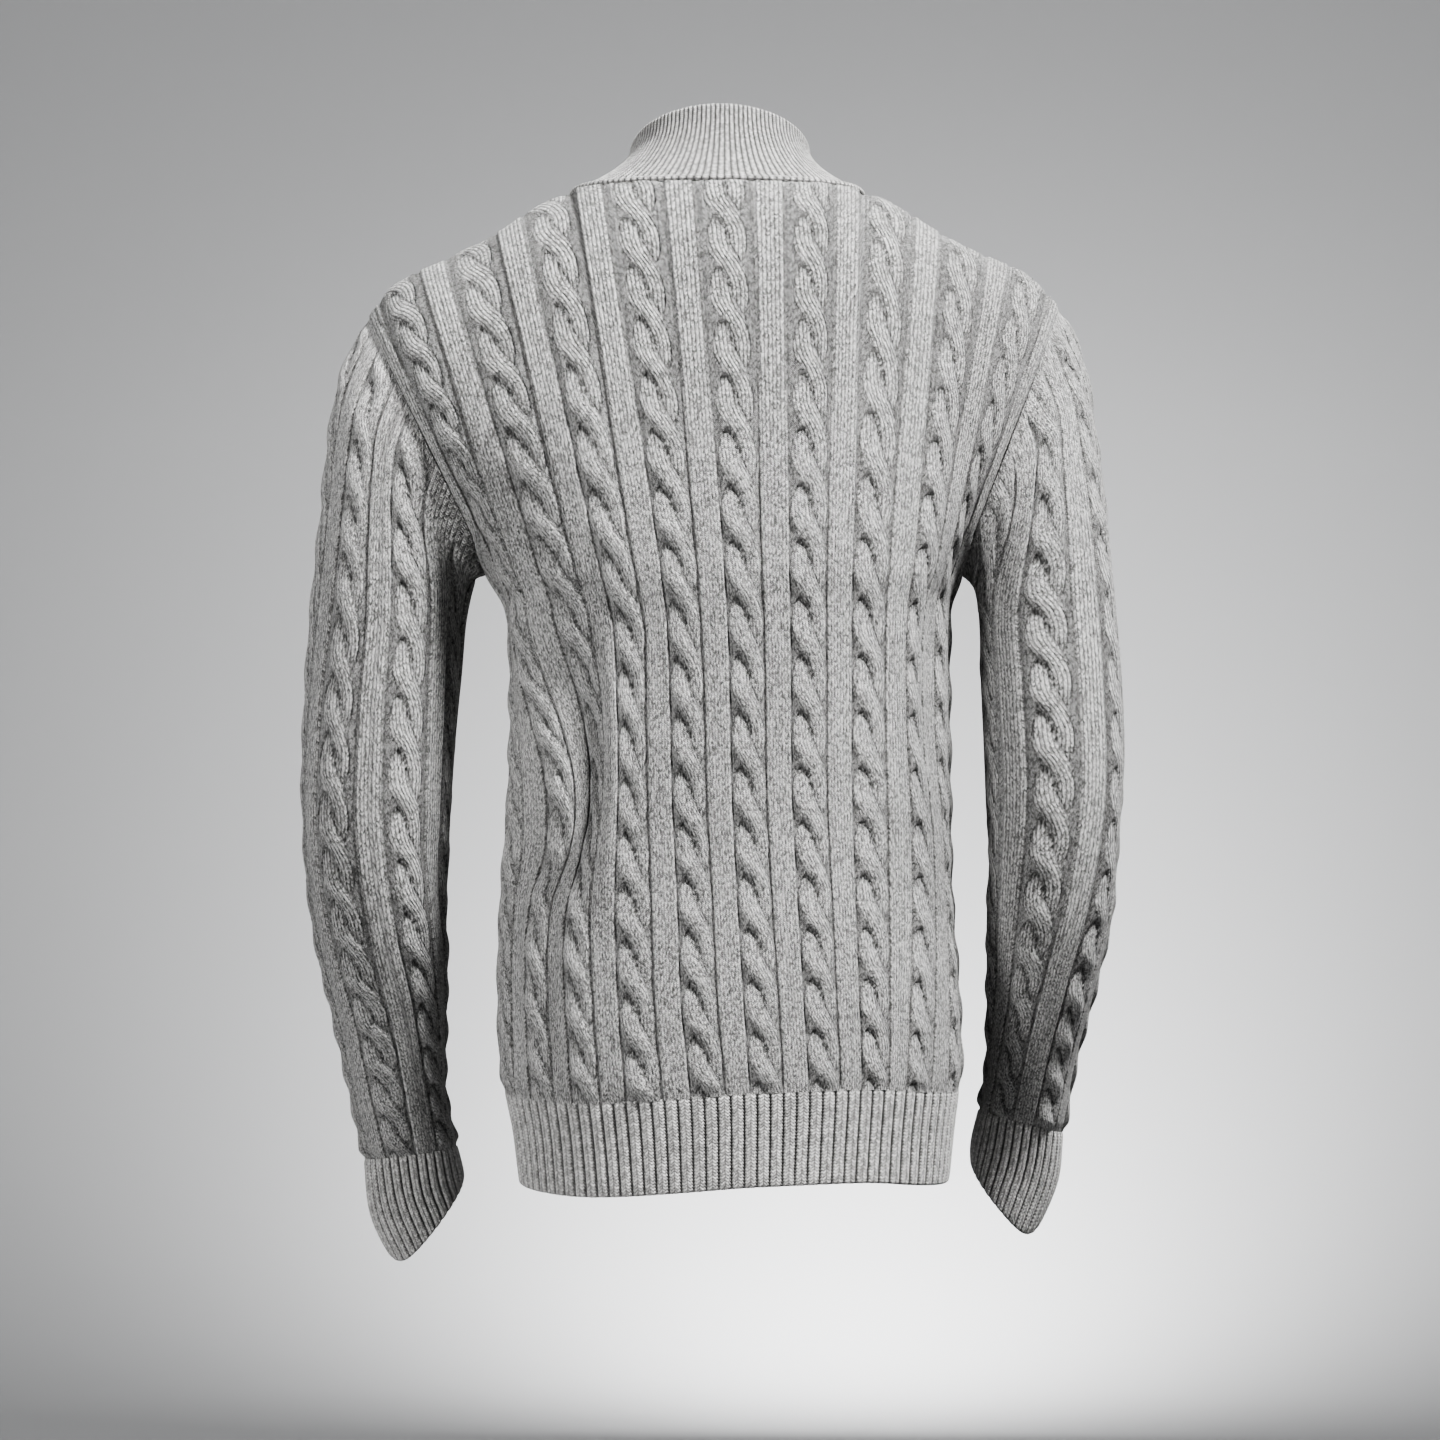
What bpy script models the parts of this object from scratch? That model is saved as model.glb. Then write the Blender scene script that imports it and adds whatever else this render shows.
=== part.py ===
"""Cable knit jumper, worn: back, front, two sleeves, stand collar, ribbed hem and ribbed cuffs.

Run with:  blender --background --python part.py

Frame: metres, +Z up. The back of the jumper faces -Y and the wearer looks along +Y. The origin is
the centre of the neck at the height of the back neck seam. Every piece is one closed wall of cloth:
a plain inside, and an outside on which the cables and ribs are raised.

Places on a panel are given in knit units. "wale" counts cable repeats sideways from the centre-back
or centre-front cable, towards +X. "twist" counts cable twists upwards from the underarm.
"""

import bpy
import numpy as np
from mathutils.geometry import delaunay_2d_cdt

# Cloth
WALL = 0.0026                 # thickness of a plain band
SEAM_GAP = 0.0003             # between two pieces at a seam
REPEAT = 0.042                # one cable and one band, sideways
TWIST = 0.0385                # one cable twist, upwards

# Cable: two strands that cross over each other once a twist
CABLE_HALF = 0.295            # cable centre to gutter, in repeats
CREST = 0.13                  # cable centre to the crest of a strand, in repeats
SWING = 0.12                  # sideways swing of a strand, in repeats
STRAND_HALF = 0.155           # half-width of a strand, in repeats
STRAND_RISE = 0.0033          # height of a strand's rounded back
CROSS_RISE = 0.0012           # how far the front strand stands over the other
CROSS_LEVEL = -0.25           # a crossing lies this far from each whole twist

# Panel outline, in knit units
SIDE_WALE = 5.5               # side seams
ARM_WALE = 4.55               # armhole seams
ARM_FLARE = 1.33              # twists over which the armhole curves out to the side seam
NECK_WALE = 1.705             # where the collar seam meets the shoulder seam
NECK_SIDE_WALES = (1.45, 1.6, 1.66)     # more columns near the top, for the bend of the neck
NECK_SIDE_TWIST = 5.4
NECK_SLANT = 0.9              # rise of the neck seam's edge for each unit outwards
TOP_TWIST = 7.4               # shoulder and neck seams
RIB_TWIST = -9.72             # where the cables end and the hem rib begins
UNDERARM_Z = -0.266
RIB_Z = -0.614
HEM_LENGTH = {"back": 0.0625, "front": 0.058}

# Body girth: distance from the axis to each side of the plain cloth, by height
GIRTH_SQUARENESS = 2.3
GIRTH = {
    "height": (-0.700, -0.680, -0.650, -0.614, -0.555, -0.487, -0.421, -0.352, -0.300, -0.283, -0.266),
    "left":   (0.1425, 0.1440, 0.1475, 0.1545, 0.1575, 0.1555, 0.1510, 0.1485, 0.1500, 0.1535, 0.1650),
    "right":  (0.1500, 0.1520, 0.1550, 0.1590, 0.1580, 0.1535, 0.1520, 0.1510, 0.1515, 0.1530, 0.1590),
    "back":   (0.1050, 0.1060, 0.1080, 0.1110, 0.1120, 0.1100, 0.1100, 0.1120, 0.1150, 0.1165, 0.1180),
    "front":  (0.1040, 0.1050, 0.1080, 0.1120, 0.1140, 0.1150, 0.1180, 0.1220, 0.1240, 0.1245, 0.1250),
}

# Back cables: turn round the body in degrees from straight back, by height, one column a wale
BACK_WALES = (-5.5, -4, -3, -2, -1, 0, 1, 2, 3, 4, 5.5)
BACK_HEIGHTS = (-0.690, -0.614, -0.555, -0.487, -0.454, -0.421, -0.393, -0.352, -0.300, -0.266)
BACK_TURNS = (
    (-86, -60.0, -45.0, -27.0, -6.2, 13.4, 32.0, 47.0, 60.5, 77.0, 95),
    (-86, -60.0, -45.9, -28.0, -6.8, 13.0, 31.8, 46.7, 60.0, 77.0, 95),
    (-87, -61.7, -47.5, -30.0, -9.7, 11.3, 30.2, 46.3, 61.7, 78.5, 96),
    (-88, -60.0, -48.6, -31.4, -11.3, 9.2, 29.1, 46.5, 64.5, 80.0, 96),
    (-89, -53.8, -46.4, -31.6, -12.3, 8.3, 28.3, 46.2, 64.5, 79.0, 95),
    (-91, -52.3, -44.1, -31.8, -13.2, 7.5, 27.4, 45.9, 63.5, 77.5, 94),
    (-92, -54.5, -43.6, -31.8, -13.5, 7.1, 27.1, 45.5, 62.5, 77.0, 93),
    (-93, -61.5, -44.8, -31.8, -13.8, 6.7, 26.8, 45.1, 61.4, 77.0, 93),
    (-92, -71.5, -48.8, -31.8, -14.7, 5.9, 26.0, 44.3, 61.0, 76.0, 92),
    (-90, -71.0, -50.6, -34.0, -15.6, 4.8, 25.2, 43.4, 61.3, 74.0, 91),
)
# Front cables lie evenly: share of the turn from centre front to the side seam, one for each wale
FRONT_WALES = (-5.5, -4, -3, -2, -1, 0, 1, 2, 3, 4, 5.5)
FRONT_SHARES = (-1, -0.760, -0.592, -0.411, -0.213, 0, 0.213, 0.411, 0.592, 0.760, 1)

# Top edge, from shoulder tip to shoulder tip, with a row for each wale
TOP_WALES = (-5.5, -4.55, -4, -3, -1.705, -1.6, -1, 0, 1, 1.6, 1.705, 3, 4, 4.55, 5.5)
TOP_X = (-0.2850, -0.2490, -0.2285, -0.1766, -0.1075, -0.1015, -0.0647, -0.0035, 0.0564, 0.0865,
         0.0925, 0.1620, 0.2075, 0.2290, 0.2620)
TOP_Z = (-0.1500, -0.0890, -0.0665, -0.0415, -0.0047, -0.0040, 0, 0, 0, -0.0040, -0.0047, -0.0400,
         -0.0610, -0.0820, -0.1350)
SHOULDER_Y = 0.006            # the shoulder seam runs along the ridge
SHOULDER_BEND = 2.5           # how squarely the back turns over into the shoulder
ARM_ROOM = {"back": 0.028, "front": 0.030, "from_wale": 2.9}    # fullness beside the armhole
NECK = {"x": -0.0075, "y": 0.006, "half_width": 0.1000, "back": 0.0810, "front": 0.0790,
        "front_drop": 0.0749}

# Rib line and hem, raised or lowered by wale
LINE_WALES = (-5.5, -3.5, 0, 2, 4, 5.5)
LINE_DIP = (-0.006, -0.009, 0, 0.001, -0.005, -0.004)

# Largest folds of the body: place, half-width, half-length (knit units) and rise (metres)
FOLDS = {
    "back": (
        {"wale": -3.10, "twist": -3.9, "width": 0.45, "length": 2.3, "rise": -0.0085},
        {"wale": -2.45, "twist": -3.7, "width": 0.35, "length": 2.6, "rise": 0.0030},
        {"wale": -4.05, "twist": -2.9, "width": 0.60, "length": 2.4, "rise": 0.0045},
        {"wale": -3.55, "twist": -7.8, "width": 0.35, "length": 2.0, "rise": -0.0035},
        {"wale": -4.50, "twist": -7.3, "width": 0.32, "length": 2.2, "rise": -0.0040},
        {"wale": 3.45, "twist": -2.0, "width": 0.40, "length": 1.9, "rise": -0.0050},
        {"wale": 2.50, "twist": -2.4, "width": 0.40, "length": 2.4, "rise": 0.0020},
        {"wale": 4.50, "twist": -5.5, "width": 0.35, "length": 2.2, "rise": -0.0030},
        {"wale": -4.20, "twist": 1.0, "width": 0.45, "length": 1.5, "rise": -0.0035},
        {"wale": 4.15, "twist": 1.0, "width": 0.45, "length": 1.5, "rise": -0.0035},
    ),
    "front": (
        {"wale": -3.60, "twist": -4.2, "width": 0.45, "length": 2.4, "rise": -0.0050},
        {"wale": -4.40, "twist": -3.6, "width": 0.45, "length": 2.6, "rise": 0.0030},
        {"wale": 3.30, "twist": -4.8, "width": 0.45, "length": 2.2, "rise": -0.0055},
        {"wale": 4.20, "twist": -4.2, "width": 0.50, "length": 2.4, "rise": 0.0030},
        {"wale": -4.10, "twist": 1.2, "width": 0.45, "length": 1.5, "rise": -0.0030},
        {"wale": 4.05, "twist": 1.2, "width": 0.45, "length": 1.5, "rise": -0.0030},
    ),
}

# Sleeves: the line of each section from its outer end to its inner end, by twist below the armhole.
# "turn" is where the middle back cable lies and "spread" the turn from it to the next, in degrees.
SLEEVE_REPEATS = 7
SLEEVE_SQUARENESS = 2.15
SLEEVE_TOP = 4.1
SLEEVE_EASE = 2.4             # twists over which the armhole's shape turns into the arm's
SLEEVE_PARTS = ("upper", "elbow", "lower")
SLEEVE_CUTS = (-1.5, -6.0)    # between these parts, so that each bends less round its hollow
UNDERARM_WALL = 1.6           # the cloth is this much thicker where the armhole's curve is tight
SLEEVE_TWISTS = (-11.45, -10, -8, -6, -4, -2, 0, 1, 2, 3, 4.1)
SLEEVE = {
    "left": {
        "outer_x": (-0.2560, -0.2624, -0.2731, -0.2852, -0.2924, -0.2909, -0.2857, -0.2798, -0.2741,
                    -0.2661, -0.2490),
        "outer_z": (-0.6748, -0.6356, -0.5766, -0.5143, -0.4433, -0.3634, -0.2782, -0.2224, -0.1680,
                    -0.1269, -0.0890),
        "inner_x": (-0.1918, -0.1988, -0.1982, -0.1956, -0.1935, -0.1886, -0.1845, -0.1801, -0.1754,
                    -0.1715, -0.1650),
        "inner_z": (-0.6661, -0.6316, -0.5766, -0.5143, -0.4433, -0.3686, -0.2990, -0.2790, -0.2722,
                    -0.2690, -0.2660),
        "forward": (0.072, 0.057, 0.035, 0.014, 0.002, 0.000, 0.003, 0.004, 0.004, 0.004, 0.004),
        "depth":   (0.0350, 0.0365, 0.0430, 0.0500, 0.0550, 0.0580, 0.0600, 0.0605, 0.0600, 0.0600,
                    0.0600),
        "turn":    (-7, -7, -12, -22, -28, -27, -23, -25, -30, -39, -48),
        "spread":  (60, 64, 59, 56, 54, 49, 43, 42, 42, 44, 44),
    },
    "right": {
        "outer_x": (0.2353, 0.2415, 0.2544, 0.2668, 0.2724, 0.2710, 0.2638, 0.2586, 0.2514, 0.2455,
                    0.2290),
        "outer_z": (-0.6554, -0.6096, -0.5517, -0.4892, -0.4185, -0.3440, -0.2576, -0.2074, -0.1557,
                    -0.1215, -0.0820),
        "inner_x": (0.1773, 0.1823, 0.1811, 0.1801, 0.1790, 0.1762, 0.1735, 0.1705, 0.1670, 0.1635,
                    0.1590),
        "inner_z": (-0.6395, -0.6083, -0.5517, -0.4905, -0.4198, -0.3480, -0.2920, -0.2770, -0.2715,
                    -0.2685, -0.2660),
        "forward": (0.063, 0.047, 0.025, 0.008, 0.001, 0.001, 0.004, 0.004, 0.004, 0.004, 0.004),
        "depth":   (0.0335, 0.0350, 0.0415, 0.0480, 0.0530, 0.0560, 0.0580, 0.0590, 0.0595, 0.0600,
                    0.0600),
        "turn":    (-32, -31, -20, -12, -5, -5, -5, 0, 6, 9, 12),
        "spread":  (60, 62, 57, 60, 62, 61, 60, 56, 53, 47, 44),
    },
}
CUFF_SHARES = (0, 0.5, 1)     # down the cuff, from its rib line to its end
CUFF = {
    "left": {"outer_x": (-0.2560, -0.2529, -0.2392), "outer_z": (-0.6748, -0.7134, -0.7448),
             "inner_x": (-0.1918, -0.1877, -0.1859), "inner_z": (-0.6661, -0.6837, -0.6947),
             "forward": (0.072, 0.081, 0.088), "depth": (0.0350, 0.0360, 0.0370)},
    "right": {"outer_x": (0.2353, 0.2328, 0.2193), "outer_z": (-0.6554, -0.6900, -0.7244),
              "inner_x": (0.1773, 0.1721, 0.1705), "inner_z": (-0.6395, -0.6633, -0.6808),
              "forward": (0.063, 0.074, 0.082), "depth": (0.0335, 0.0345, 0.0355)},
}

# Collar rim and ribs
RIM = {"x": -0.0055, "y": 0.002, "half_width": 0.0620, "depth": 0.0640, "z": 0.024, "tilt": 0.026}
COLLAR_FLARE = 2.2            # how quickly the collar draws in above its seam
COLLAR_RIBS = 94
HEM_RIBS = 49                 # on each panel
CUFF_RIBS = 34
RIB_RISE = {"collar": 0.0007, "hem": 0.0011, "cuff": 0.0011}
FURROW_SHARE = 0.3            # depth of a furrow, as a share of the ribs' height
RIB_AT_RIM = 0.4              # share of their height that the ribs keep at a free edge
HEM_SIDE = 1 / 60             # share of a panel's hem over which the ribs rise from its side seam

# How finely the solids are drawn
ROW_STEP = 0.5                # rows each half twist: one above and one below each crossing
LINING_STEP = (0.4, 0.5)      # plain inside round the underarms and neck, in repeats and twists
LINING_EVERY = 2              # elsewhere it has one row in this many
LINING_FROM_EDGE = 0.25       # repeats from the armhole or side seam to the lining's first point
UNDERARM_TWISTS = (-2, 3)     # the lining is fine between these, outside this wale
UNDERARM_WALE = 3.4
LINING_NECK = {"twist": 6, "fine_wale": 1.1, "side_wale": 1.8, "left_out": (1.5, 1.7)}
SLEEVE_LINING_STEP = 1.5
SLEEVE_BAND_FROM = 0.2        # above this twist the sleeve's bands have a column in the middle too
SLEEVE_FINE_BELOW = 1         # below this twist the sleeve's lining has twice the columns
LINING_COUNT = {"cuff": 18, "hem": 18, "collar": 32}
RIB_ROWS = {"cuff": (0.12, 0.5, 1.0), "hem": (0.12, 1.0), "collar": (1.0, 0.4)}
NUDGE = 1e-3                  # step for slopes, in knit units

GREY_WOOL = {"colour": (0.47, 0.46, 0.45, 1.0), "roughness": 0.92}
GREY_RIB = {"colour": (0.43, 0.42, 0.41, 1.0), "roughness": 0.94}


# Curves and small vector helpers -------------------------------------------------------------------

def smooth(where, knots, values):
    """Smooth curve through (knots, values) at each place; values may have a row for each place."""
    where = np.asarray(where, float)
    knots = np.asarray(knots, float)
    values = np.asarray(values, float)
    slopes = np.gradient(values, knots, axis=-1)
    place = np.clip(where, knots[0], knots[-1])
    i = np.clip(np.searchsorted(knots, place, side="right") - 1, 0, len(knots) - 2)
    span = knots[i + 1] - knots[i]
    f = (place - knots[i]) / span
    if values.ndim == 1:
        v0, v1, s0, s1 = values[i], values[i + 1], slopes[i], slopes[i + 1]
    else:
        row = np.arange(len(place))
        v0, v1, s0, s1 = values[row, i], values[row, i + 1], slopes[row, i], slopes[row, i + 1]
    rise = f * f * (3 - 2 * f)
    return v0 + (v1 - v0) * rise + span * (s0 * f * (1 - f) ** 2 - s1 * f * f * (1 - f))


def ease(f):
    """Smooth step from 0 to 1."""
    f = np.clip(f, 0, 1)
    return f * f * (3 - 2 * f)


def unit(vectors):
    return vectors / np.linalg.norm(vectors, axis=-1, keepdims=True)


def rounded(turn, half_width, half_depth, squareness):
    """Distance from the axis of a rounded oblong section, at a turn from its depth axis."""
    across = (np.abs(np.sin(turn)) / half_width) ** squareness
    along = (np.abs(np.cos(turn)) / half_depth) ** squareness
    return (across + along) ** (-1 / squareness)


# Knit ----------------------------------------------------------------------------------------------

def cable_relief(wale, twist):
    """Height of the cables over the plain band, at wales counted rightwards as seen from outside."""
    side = wale - np.round(wale)
    angle = np.pi * (twist - CROSS_LEVEL)
    swing = SWING * np.tanh(1.5 * np.sin(angle)) / np.tanh(1.5)
    relief = np.zeros(np.shape(side + twist))
    for sign in (-1, 1):
        offset = (side - sign * swing) / STRAND_HALF
        back = STRAND_RISE * np.sqrt(np.clip(1 - offset ** 2, 0, None))
        strand = np.where(np.abs(offset) < 1, back - sign * CROSS_RISE * np.cos(angle), 0)
        relief = np.maximum(relief, strand)
    return relief


# Body ----------------------------------------------------------------------------------------------

def body_height(twist):
    """Height of a row below the underarm; the twists are shorter near the hem."""
    return UNDERARM_Z + 0.0388 * twist + 0.0003 * twist ** 2


def body_ring(side, wale, height):
    """Point of the plain cloth below the underarm."""
    girth = {name: smooth(height, GIRTH["height"], GIRTH[name]) for name in GIRTH if name != "height"}
    level = np.array([smooth(height, BACK_HEIGHTS, column) for column in zip(*BACK_TURNS)]).T
    if side == "back":
        turn = np.radians(smooth(wale, BACK_WALES, level))
    else:
        seam = np.where(wale < 0, 180 + level[:, 0], 180 - level[:, -1])
        turn = np.radians(seam * smooth(wale, FRONT_WALES, FRONT_SHARES))
    facing = -1 if side == "back" else 1
    half_width = np.where(turn < 0, girth["left"], girth["right"])
    towards = girth["back" if side == "back" else "front"]
    beyond = girth["front" if side == "back" else "back"]
    half_depth = np.where(np.cos(turn) >= 0, towards, beyond)
    reach = rounded(turn, half_width, half_depth, GIRTH_SQUARENESS)
    return np.stack([reach * np.sin(turn), facing * reach * np.cos(turn), height], axis=-1)


def neck_ring(turn):
    """Collar seam; the turn is 0 at centre back and rises towards +X."""
    depth = np.where(np.cos(turn) > 0, NECK["back"], NECK["front"])
    drop = NECK["front_drop"] * ((1 - np.cos(turn)) / 2) ** 4
    return np.stack([NECK["x"] + NECK["half_width"] * np.sin(turn), NECK["y"] - depth * np.cos(turn),
                     -drop], axis=-1)


def top_edge(side, wale):
    """Shoulder seams and the collar seam between them."""
    x = smooth(wale, TOP_WALES, TOP_X)
    shoulder = np.stack([x, np.full_like(x, SHOULDER_Y), smooth(wale, TOP_WALES, TOP_Z)], axis=-1)
    turn = np.arcsin(np.clip((x - NECK["x"]) / NECK["half_width"], -1, 1))
    neck = neck_ring(turn if side == "back" else np.pi - turn)
    return np.where((np.abs(wale) <= NECK_WALE + 1e-6)[:, None], neck, shoulder)


def shoulder_path(side, wale, twist):
    """Point above the underarm: each wale rises, then turns over into the top edge."""
    start = body_ring(side, wale, np.full_like(wale, UNDERARM_Z))
    end = top_edge(side, wale)
    share = np.clip((end[:, 1] - SHOULDER_Y) / (start[:, 1] - SHOULDER_Y), 0, 0.999)
    bend = SHOULDER_BEND
    top_share = (1 - share ** bend) ** (1 / bend)
    last = np.arctan2(top_share ** (bend / 2), share ** (bend / 2))
    steps = np.linspace(0, 1, 49)
    angle = last[:, None] * steps
    rise = np.abs(np.sin(angle)) ** (2 / bend)
    depth = np.abs(np.cos(angle)) ** (2 / bend)
    y = SHOULDER_Y + (start[:, 1, None] - SHOULDER_Y) * depth
    z = start[:, 2, None] + ((end[:, 2] - start[:, 2]) / top_share)[:, None] * rise
    way = rise / top_share[:, None]
    x = start[:, 0, None] + (end[:, 0] - start[:, 0])[:, None] * way
    near_arm = ease((np.abs(wale) - ARM_ROOM["from_wale"]) / (ARM_WALE - ARM_ROOM["from_wale"]))
    room = ARM_ROOM[side] * near_arm * (-1 if side == "back" else 1)
    y = y + room[:, None] * np.sin(np.pi * np.clip(way, 0, 1)) ** 0.8
    length = np.cumsum(np.sqrt(np.diff(x) ** 2 + np.diff(y) ** 2 + np.diff(z) ** 2), axis=1)
    length = np.concatenate([np.zeros((len(x), 1)), length], axis=1)
    goal = length[:, -1] * twist / TOP_TWIST
    i = np.clip((length <= goal[:, None]).sum(axis=1) - 1, 0, len(steps) - 2)
    row = np.arange(len(x))
    f = np.clip((goal - length[row, i]) / (length[row, i + 1] - length[row, i]), 0, 1)
    return np.stack([v[row, i] + f * (v[row, i + 1] - v[row, i]) for v in (x, y, z)], axis=-1)


def body_plain(side, wale, twist):
    """Plain cloth of the body, without its folds."""
    line = smooth(wale, LINE_WALES, LINE_DIP) * ease((-6 - twist) / (-6 - RIB_TWIST))
    low = body_ring(side, wale, body_height(np.minimum(twist, 0)) + line)
    high = shoulder_path(side, wale, np.clip(twist, 0, TOP_TWIST))
    return np.where((twist > 0)[:, None], high, low)


def body_normal(side, wale, twist, surface):
    """Outward direction of a body surface, from its slopes along the wales and the rows."""
    limit = SIDE_WALE
    across = surface(side, np.minimum(wale + NUDGE, limit), twist) \
        - surface(side, np.maximum(wale - NUDGE, -limit), twist)
    up = surface(side, wale, np.minimum(twist + NUDGE, TOP_TWIST)) \
        - surface(side, wale, np.maximum(twist - NUDGE, RIB_TWIST))
    outward = np.cross(across, up)
    return unit(outward if side == "back" else -outward)


def fold_rise(side, wale, twist):
    rise = np.zeros(np.shape(wale + twist))
    for fold in FOLDS[side]:
        across = ((wale - fold["wale"]) / fold["width"]) ** 2
        along = ((twist - fold["twist"]) / fold["length"]) ** 4
        rise = rise + fold["rise"] * np.exp(-across - along)
    edge = ease((arm_edge(twist) - np.abs(wale)) / 0.4) * ease((TOP_TWIST - twist) / 1.0)
    return rise * edge * ease((twist - RIB_TWIST) / 1.0)


def body_surface(side, wale, twist):
    """Plain cloth of the body with its folds."""
    plain = body_plain(side, wale, twist)
    return plain + body_normal(side, wale, twist, body_plain) * fold_rise(side, wale, twist)[:, None]


def arm_edge(twist):
    """How far out a panel reaches: the side seam below the underarm, the armhole above it."""
    flare = np.clip(1 - np.asarray(twist, float) / ARM_FLARE, 0, None) ** 2
    return np.where(np.asarray(twist) <= 0, SIDE_WALE, ARM_WALE + (SIDE_WALE - ARM_WALE) * flare)


# Sleeves -------------------------------------------------------------------------------------------

def section(outer_x, outer_z, inner_x, inner_z, forward, depth, turn, right_is_outer):
    """Point on a rounded section between its outer and inner end; turn 0 faces straight back."""
    outer = np.stack([outer_x, outer_z], axis=-1)
    inner = np.stack([inner_x, inner_z], axis=-1)
    middle = (outer + inner) / 2
    half = (outer - inner) / 2 if right_is_outer else (inner - outer) / 2
    half_width = np.linalg.norm(half, axis=-1)
    reach = rounded(turn, half_width, depth, SLEEVE_SQUARENESS)
    across = half / half_width[..., None] * (reach * np.sin(turn))[..., None]
    return np.stack([middle[..., 0] + across[..., 0], forward - reach * np.cos(turn),
                     middle[..., 1] + across[..., 1]], axis=-1)


def sleeve_turn(side, wale, twist):
    """Turn of a wale round the sleeve, in radians from straight back."""
    table = SLEEVE[side]
    spread = smooth(twist, SLEEVE_TWISTS, table["spread"])
    half = SLEEVE_REPEATS / 2
    around = np.stack([np.full_like(spread, -180), -spread, 0 * spread, spread,
                       np.full_like(spread, 180)], axis=-1)
    wrapped = (np.asarray(wale) + half) % SLEEVE_REPEATS - half
    return np.radians(smooth(wrapped, (-half, -1, 0, 1, half), around)
                      + smooth(twist, SLEEVE_TWISTS, table["turn"]))


def sleeve_section(side, turn, twist):
    table = SLEEVE[side]
    names = ("outer_x", "outer_z", "inner_x", "inner_z", "forward", "depth")
    values = [smooth(twist, SLEEVE_TWISTS, table[name]) for name in names]
    return section(*values, turn, side == "right")


def sleeve_at(side, turn, twist, armhole):
    """Plain cloth of a sleeve; near the top it takes the shape of the armhole's loop of points."""
    point = sleeve_section(side, turn, twist)
    top = np.full_like(turn, SLEEVE_TOP)
    wrapped = (turn + np.pi) % (2 * np.pi) - np.pi
    fitted = np.stack([np.interp(wrapped, armhole["turns"], axis, period=2 * np.pi)
                       for axis in armhole["points"].T], axis=-1)
    pull = 1 - ease((SLEEVE_TOP - twist) / SLEEVE_EASE)
    return point + (fitted - sleeve_section(side, turn, top)) * pull[:, None]


def sleeve_surface(side, wale, twist, armhole):
    return sleeve_at(side, sleeve_turn(side, wale, twist), twist, armhole)


def cuff_surface(side, turn, share):
    table = CUFF[side]
    names = ("outer_x", "outer_z", "inner_x", "inner_z", "forward", "depth")
    values = [smooth(share, CUFF_SHARES, table[name]) for name in names]
    return section(*values, turn, side == "right")


def collar_surface(turn, share):
    """Plain cloth of the collar, from its seam (share 0) to its rim (share 1)."""
    base = neck_ring(turn)
    rim = np.stack([RIM["x"] + RIM["half_width"] * np.sin(turn), RIM["y"] - RIM["depth"] * np.cos(turn),
                    RIM["z"] + RIM["tilt"] * np.cos(turn)], axis=-1)
    draw_in = 1 - (1 - share) ** COLLAR_FLARE
    blend = np.stack([draw_in, draw_in, share], axis=-1)
    return base + (rim - base) * blend


# Walls ---------------------------------------------------------------------------------------------

def stitch(lower, upper, closed=False):
    """Triangles between two rows of vertices, each a list of (vertex, place along the row).

    The rows run the same way, and the triangles face the side on which the lower row runs to the
    right.
    """
    if closed:
        lower = lower + [(lower[0][0], lower[0][1] + 1)]
        upper = upper + [(upper[0][0], upper[0][1] + 1)]
    triangles = []
    i = j = 0
    while i < len(lower) - 1 or j < len(upper) - 1:
        step_lower = j == len(upper) - 1 or (
            i < len(lower) - 1 and lower[i + 1][1] + lower[i][1] <= upper[j + 1][1] + upper[j][1])
        if step_lower:
            triangles.append((lower[i][0], lower[i + 1][0], upper[j][0]))
            i += 1
        else:
            triangles.append((lower[i][0], upper[j + 1][0], upper[j][0]))
            j += 1
    return triangles


def inset(points, mitres, closed=True):
    """Move an edge's points into their own piece by half a seam gap, in the surface."""
    ahead = np.roll(points, -1, axis=0) - points
    behind = points - np.roll(points, 1, axis=0)
    if not closed:
        ahead[-1] = behind[-1]
        behind[0] = ahead[0]
    d1 = unit(np.cross(mitres, ahead))
    d2 = unit(np.cross(mitres, behind))
    spread = 1 + np.sum(d1 * d2, axis=-1, keepdims=True)
    return points + SEAM_GAP / 2 * (d1 + d2) / np.maximum(spread, 0.5)


class Skin:
    """The outside of a panel before it gets its thickness: knit places, points and triangles."""

    def __init__(self, side):
        self.side = side
        self.places = []
        self.rows = []
        self.triangles = []

    def add(self, wale, twist):
        self.places.append((wale, twist))
        return len(self.places) - 1


def panel_columns(twist):
    offsets = (-CABLE_HALF, -CREST, CREST, CABLE_HALF)
    columns = [repeat + offset for repeat in range(-5, 6) for offset in offsets]
    if twist > NECK_SIDE_TWIST:
        columns += [sign * wale for wale in NECK_SIDE_WALES for sign in (-1, 1)]
    edge = float(arm_edge(twist))
    return [-edge] + sorted(w for w in columns if abs(w) < edge - 0.1) + [edge]


def panel_rows():
    steps = np.arange(np.ceil(RIB_TWIST / ROW_STEP) * ROW_STEP, TOP_TWIST - ROW_STEP / 4, ROW_STEP)
    return [RIB_TWIST] + [float(step) for step in steps] + [TOP_TWIST]


def panel_skin(side):
    """Grid of a panel, whose outer columns end where the armhole cuts them."""
    skin = Skin(side)
    for twist in panel_rows():
        skin.rows.append([skin.add(wale, twist) for wale in panel_columns(twist)])
    sign = 1 if side == "back" else -1
    for low, high in zip(skin.rows, skin.rows[1:]):
        strip = [[(v, sign * skin.places[v][0]) for v in row[::sign]] for row in (low, high)]
        skin.triangles += stitch(*strip)
    places = np.array(skin.places)
    skin.wales, skin.twists = places[:, 0], places[:, 1]
    skin.points = body_surface(side, skin.wales, skin.twists)
    skin.normals = body_normal(side, skin.wales, skin.twists, body_surface)
    return skin


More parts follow.
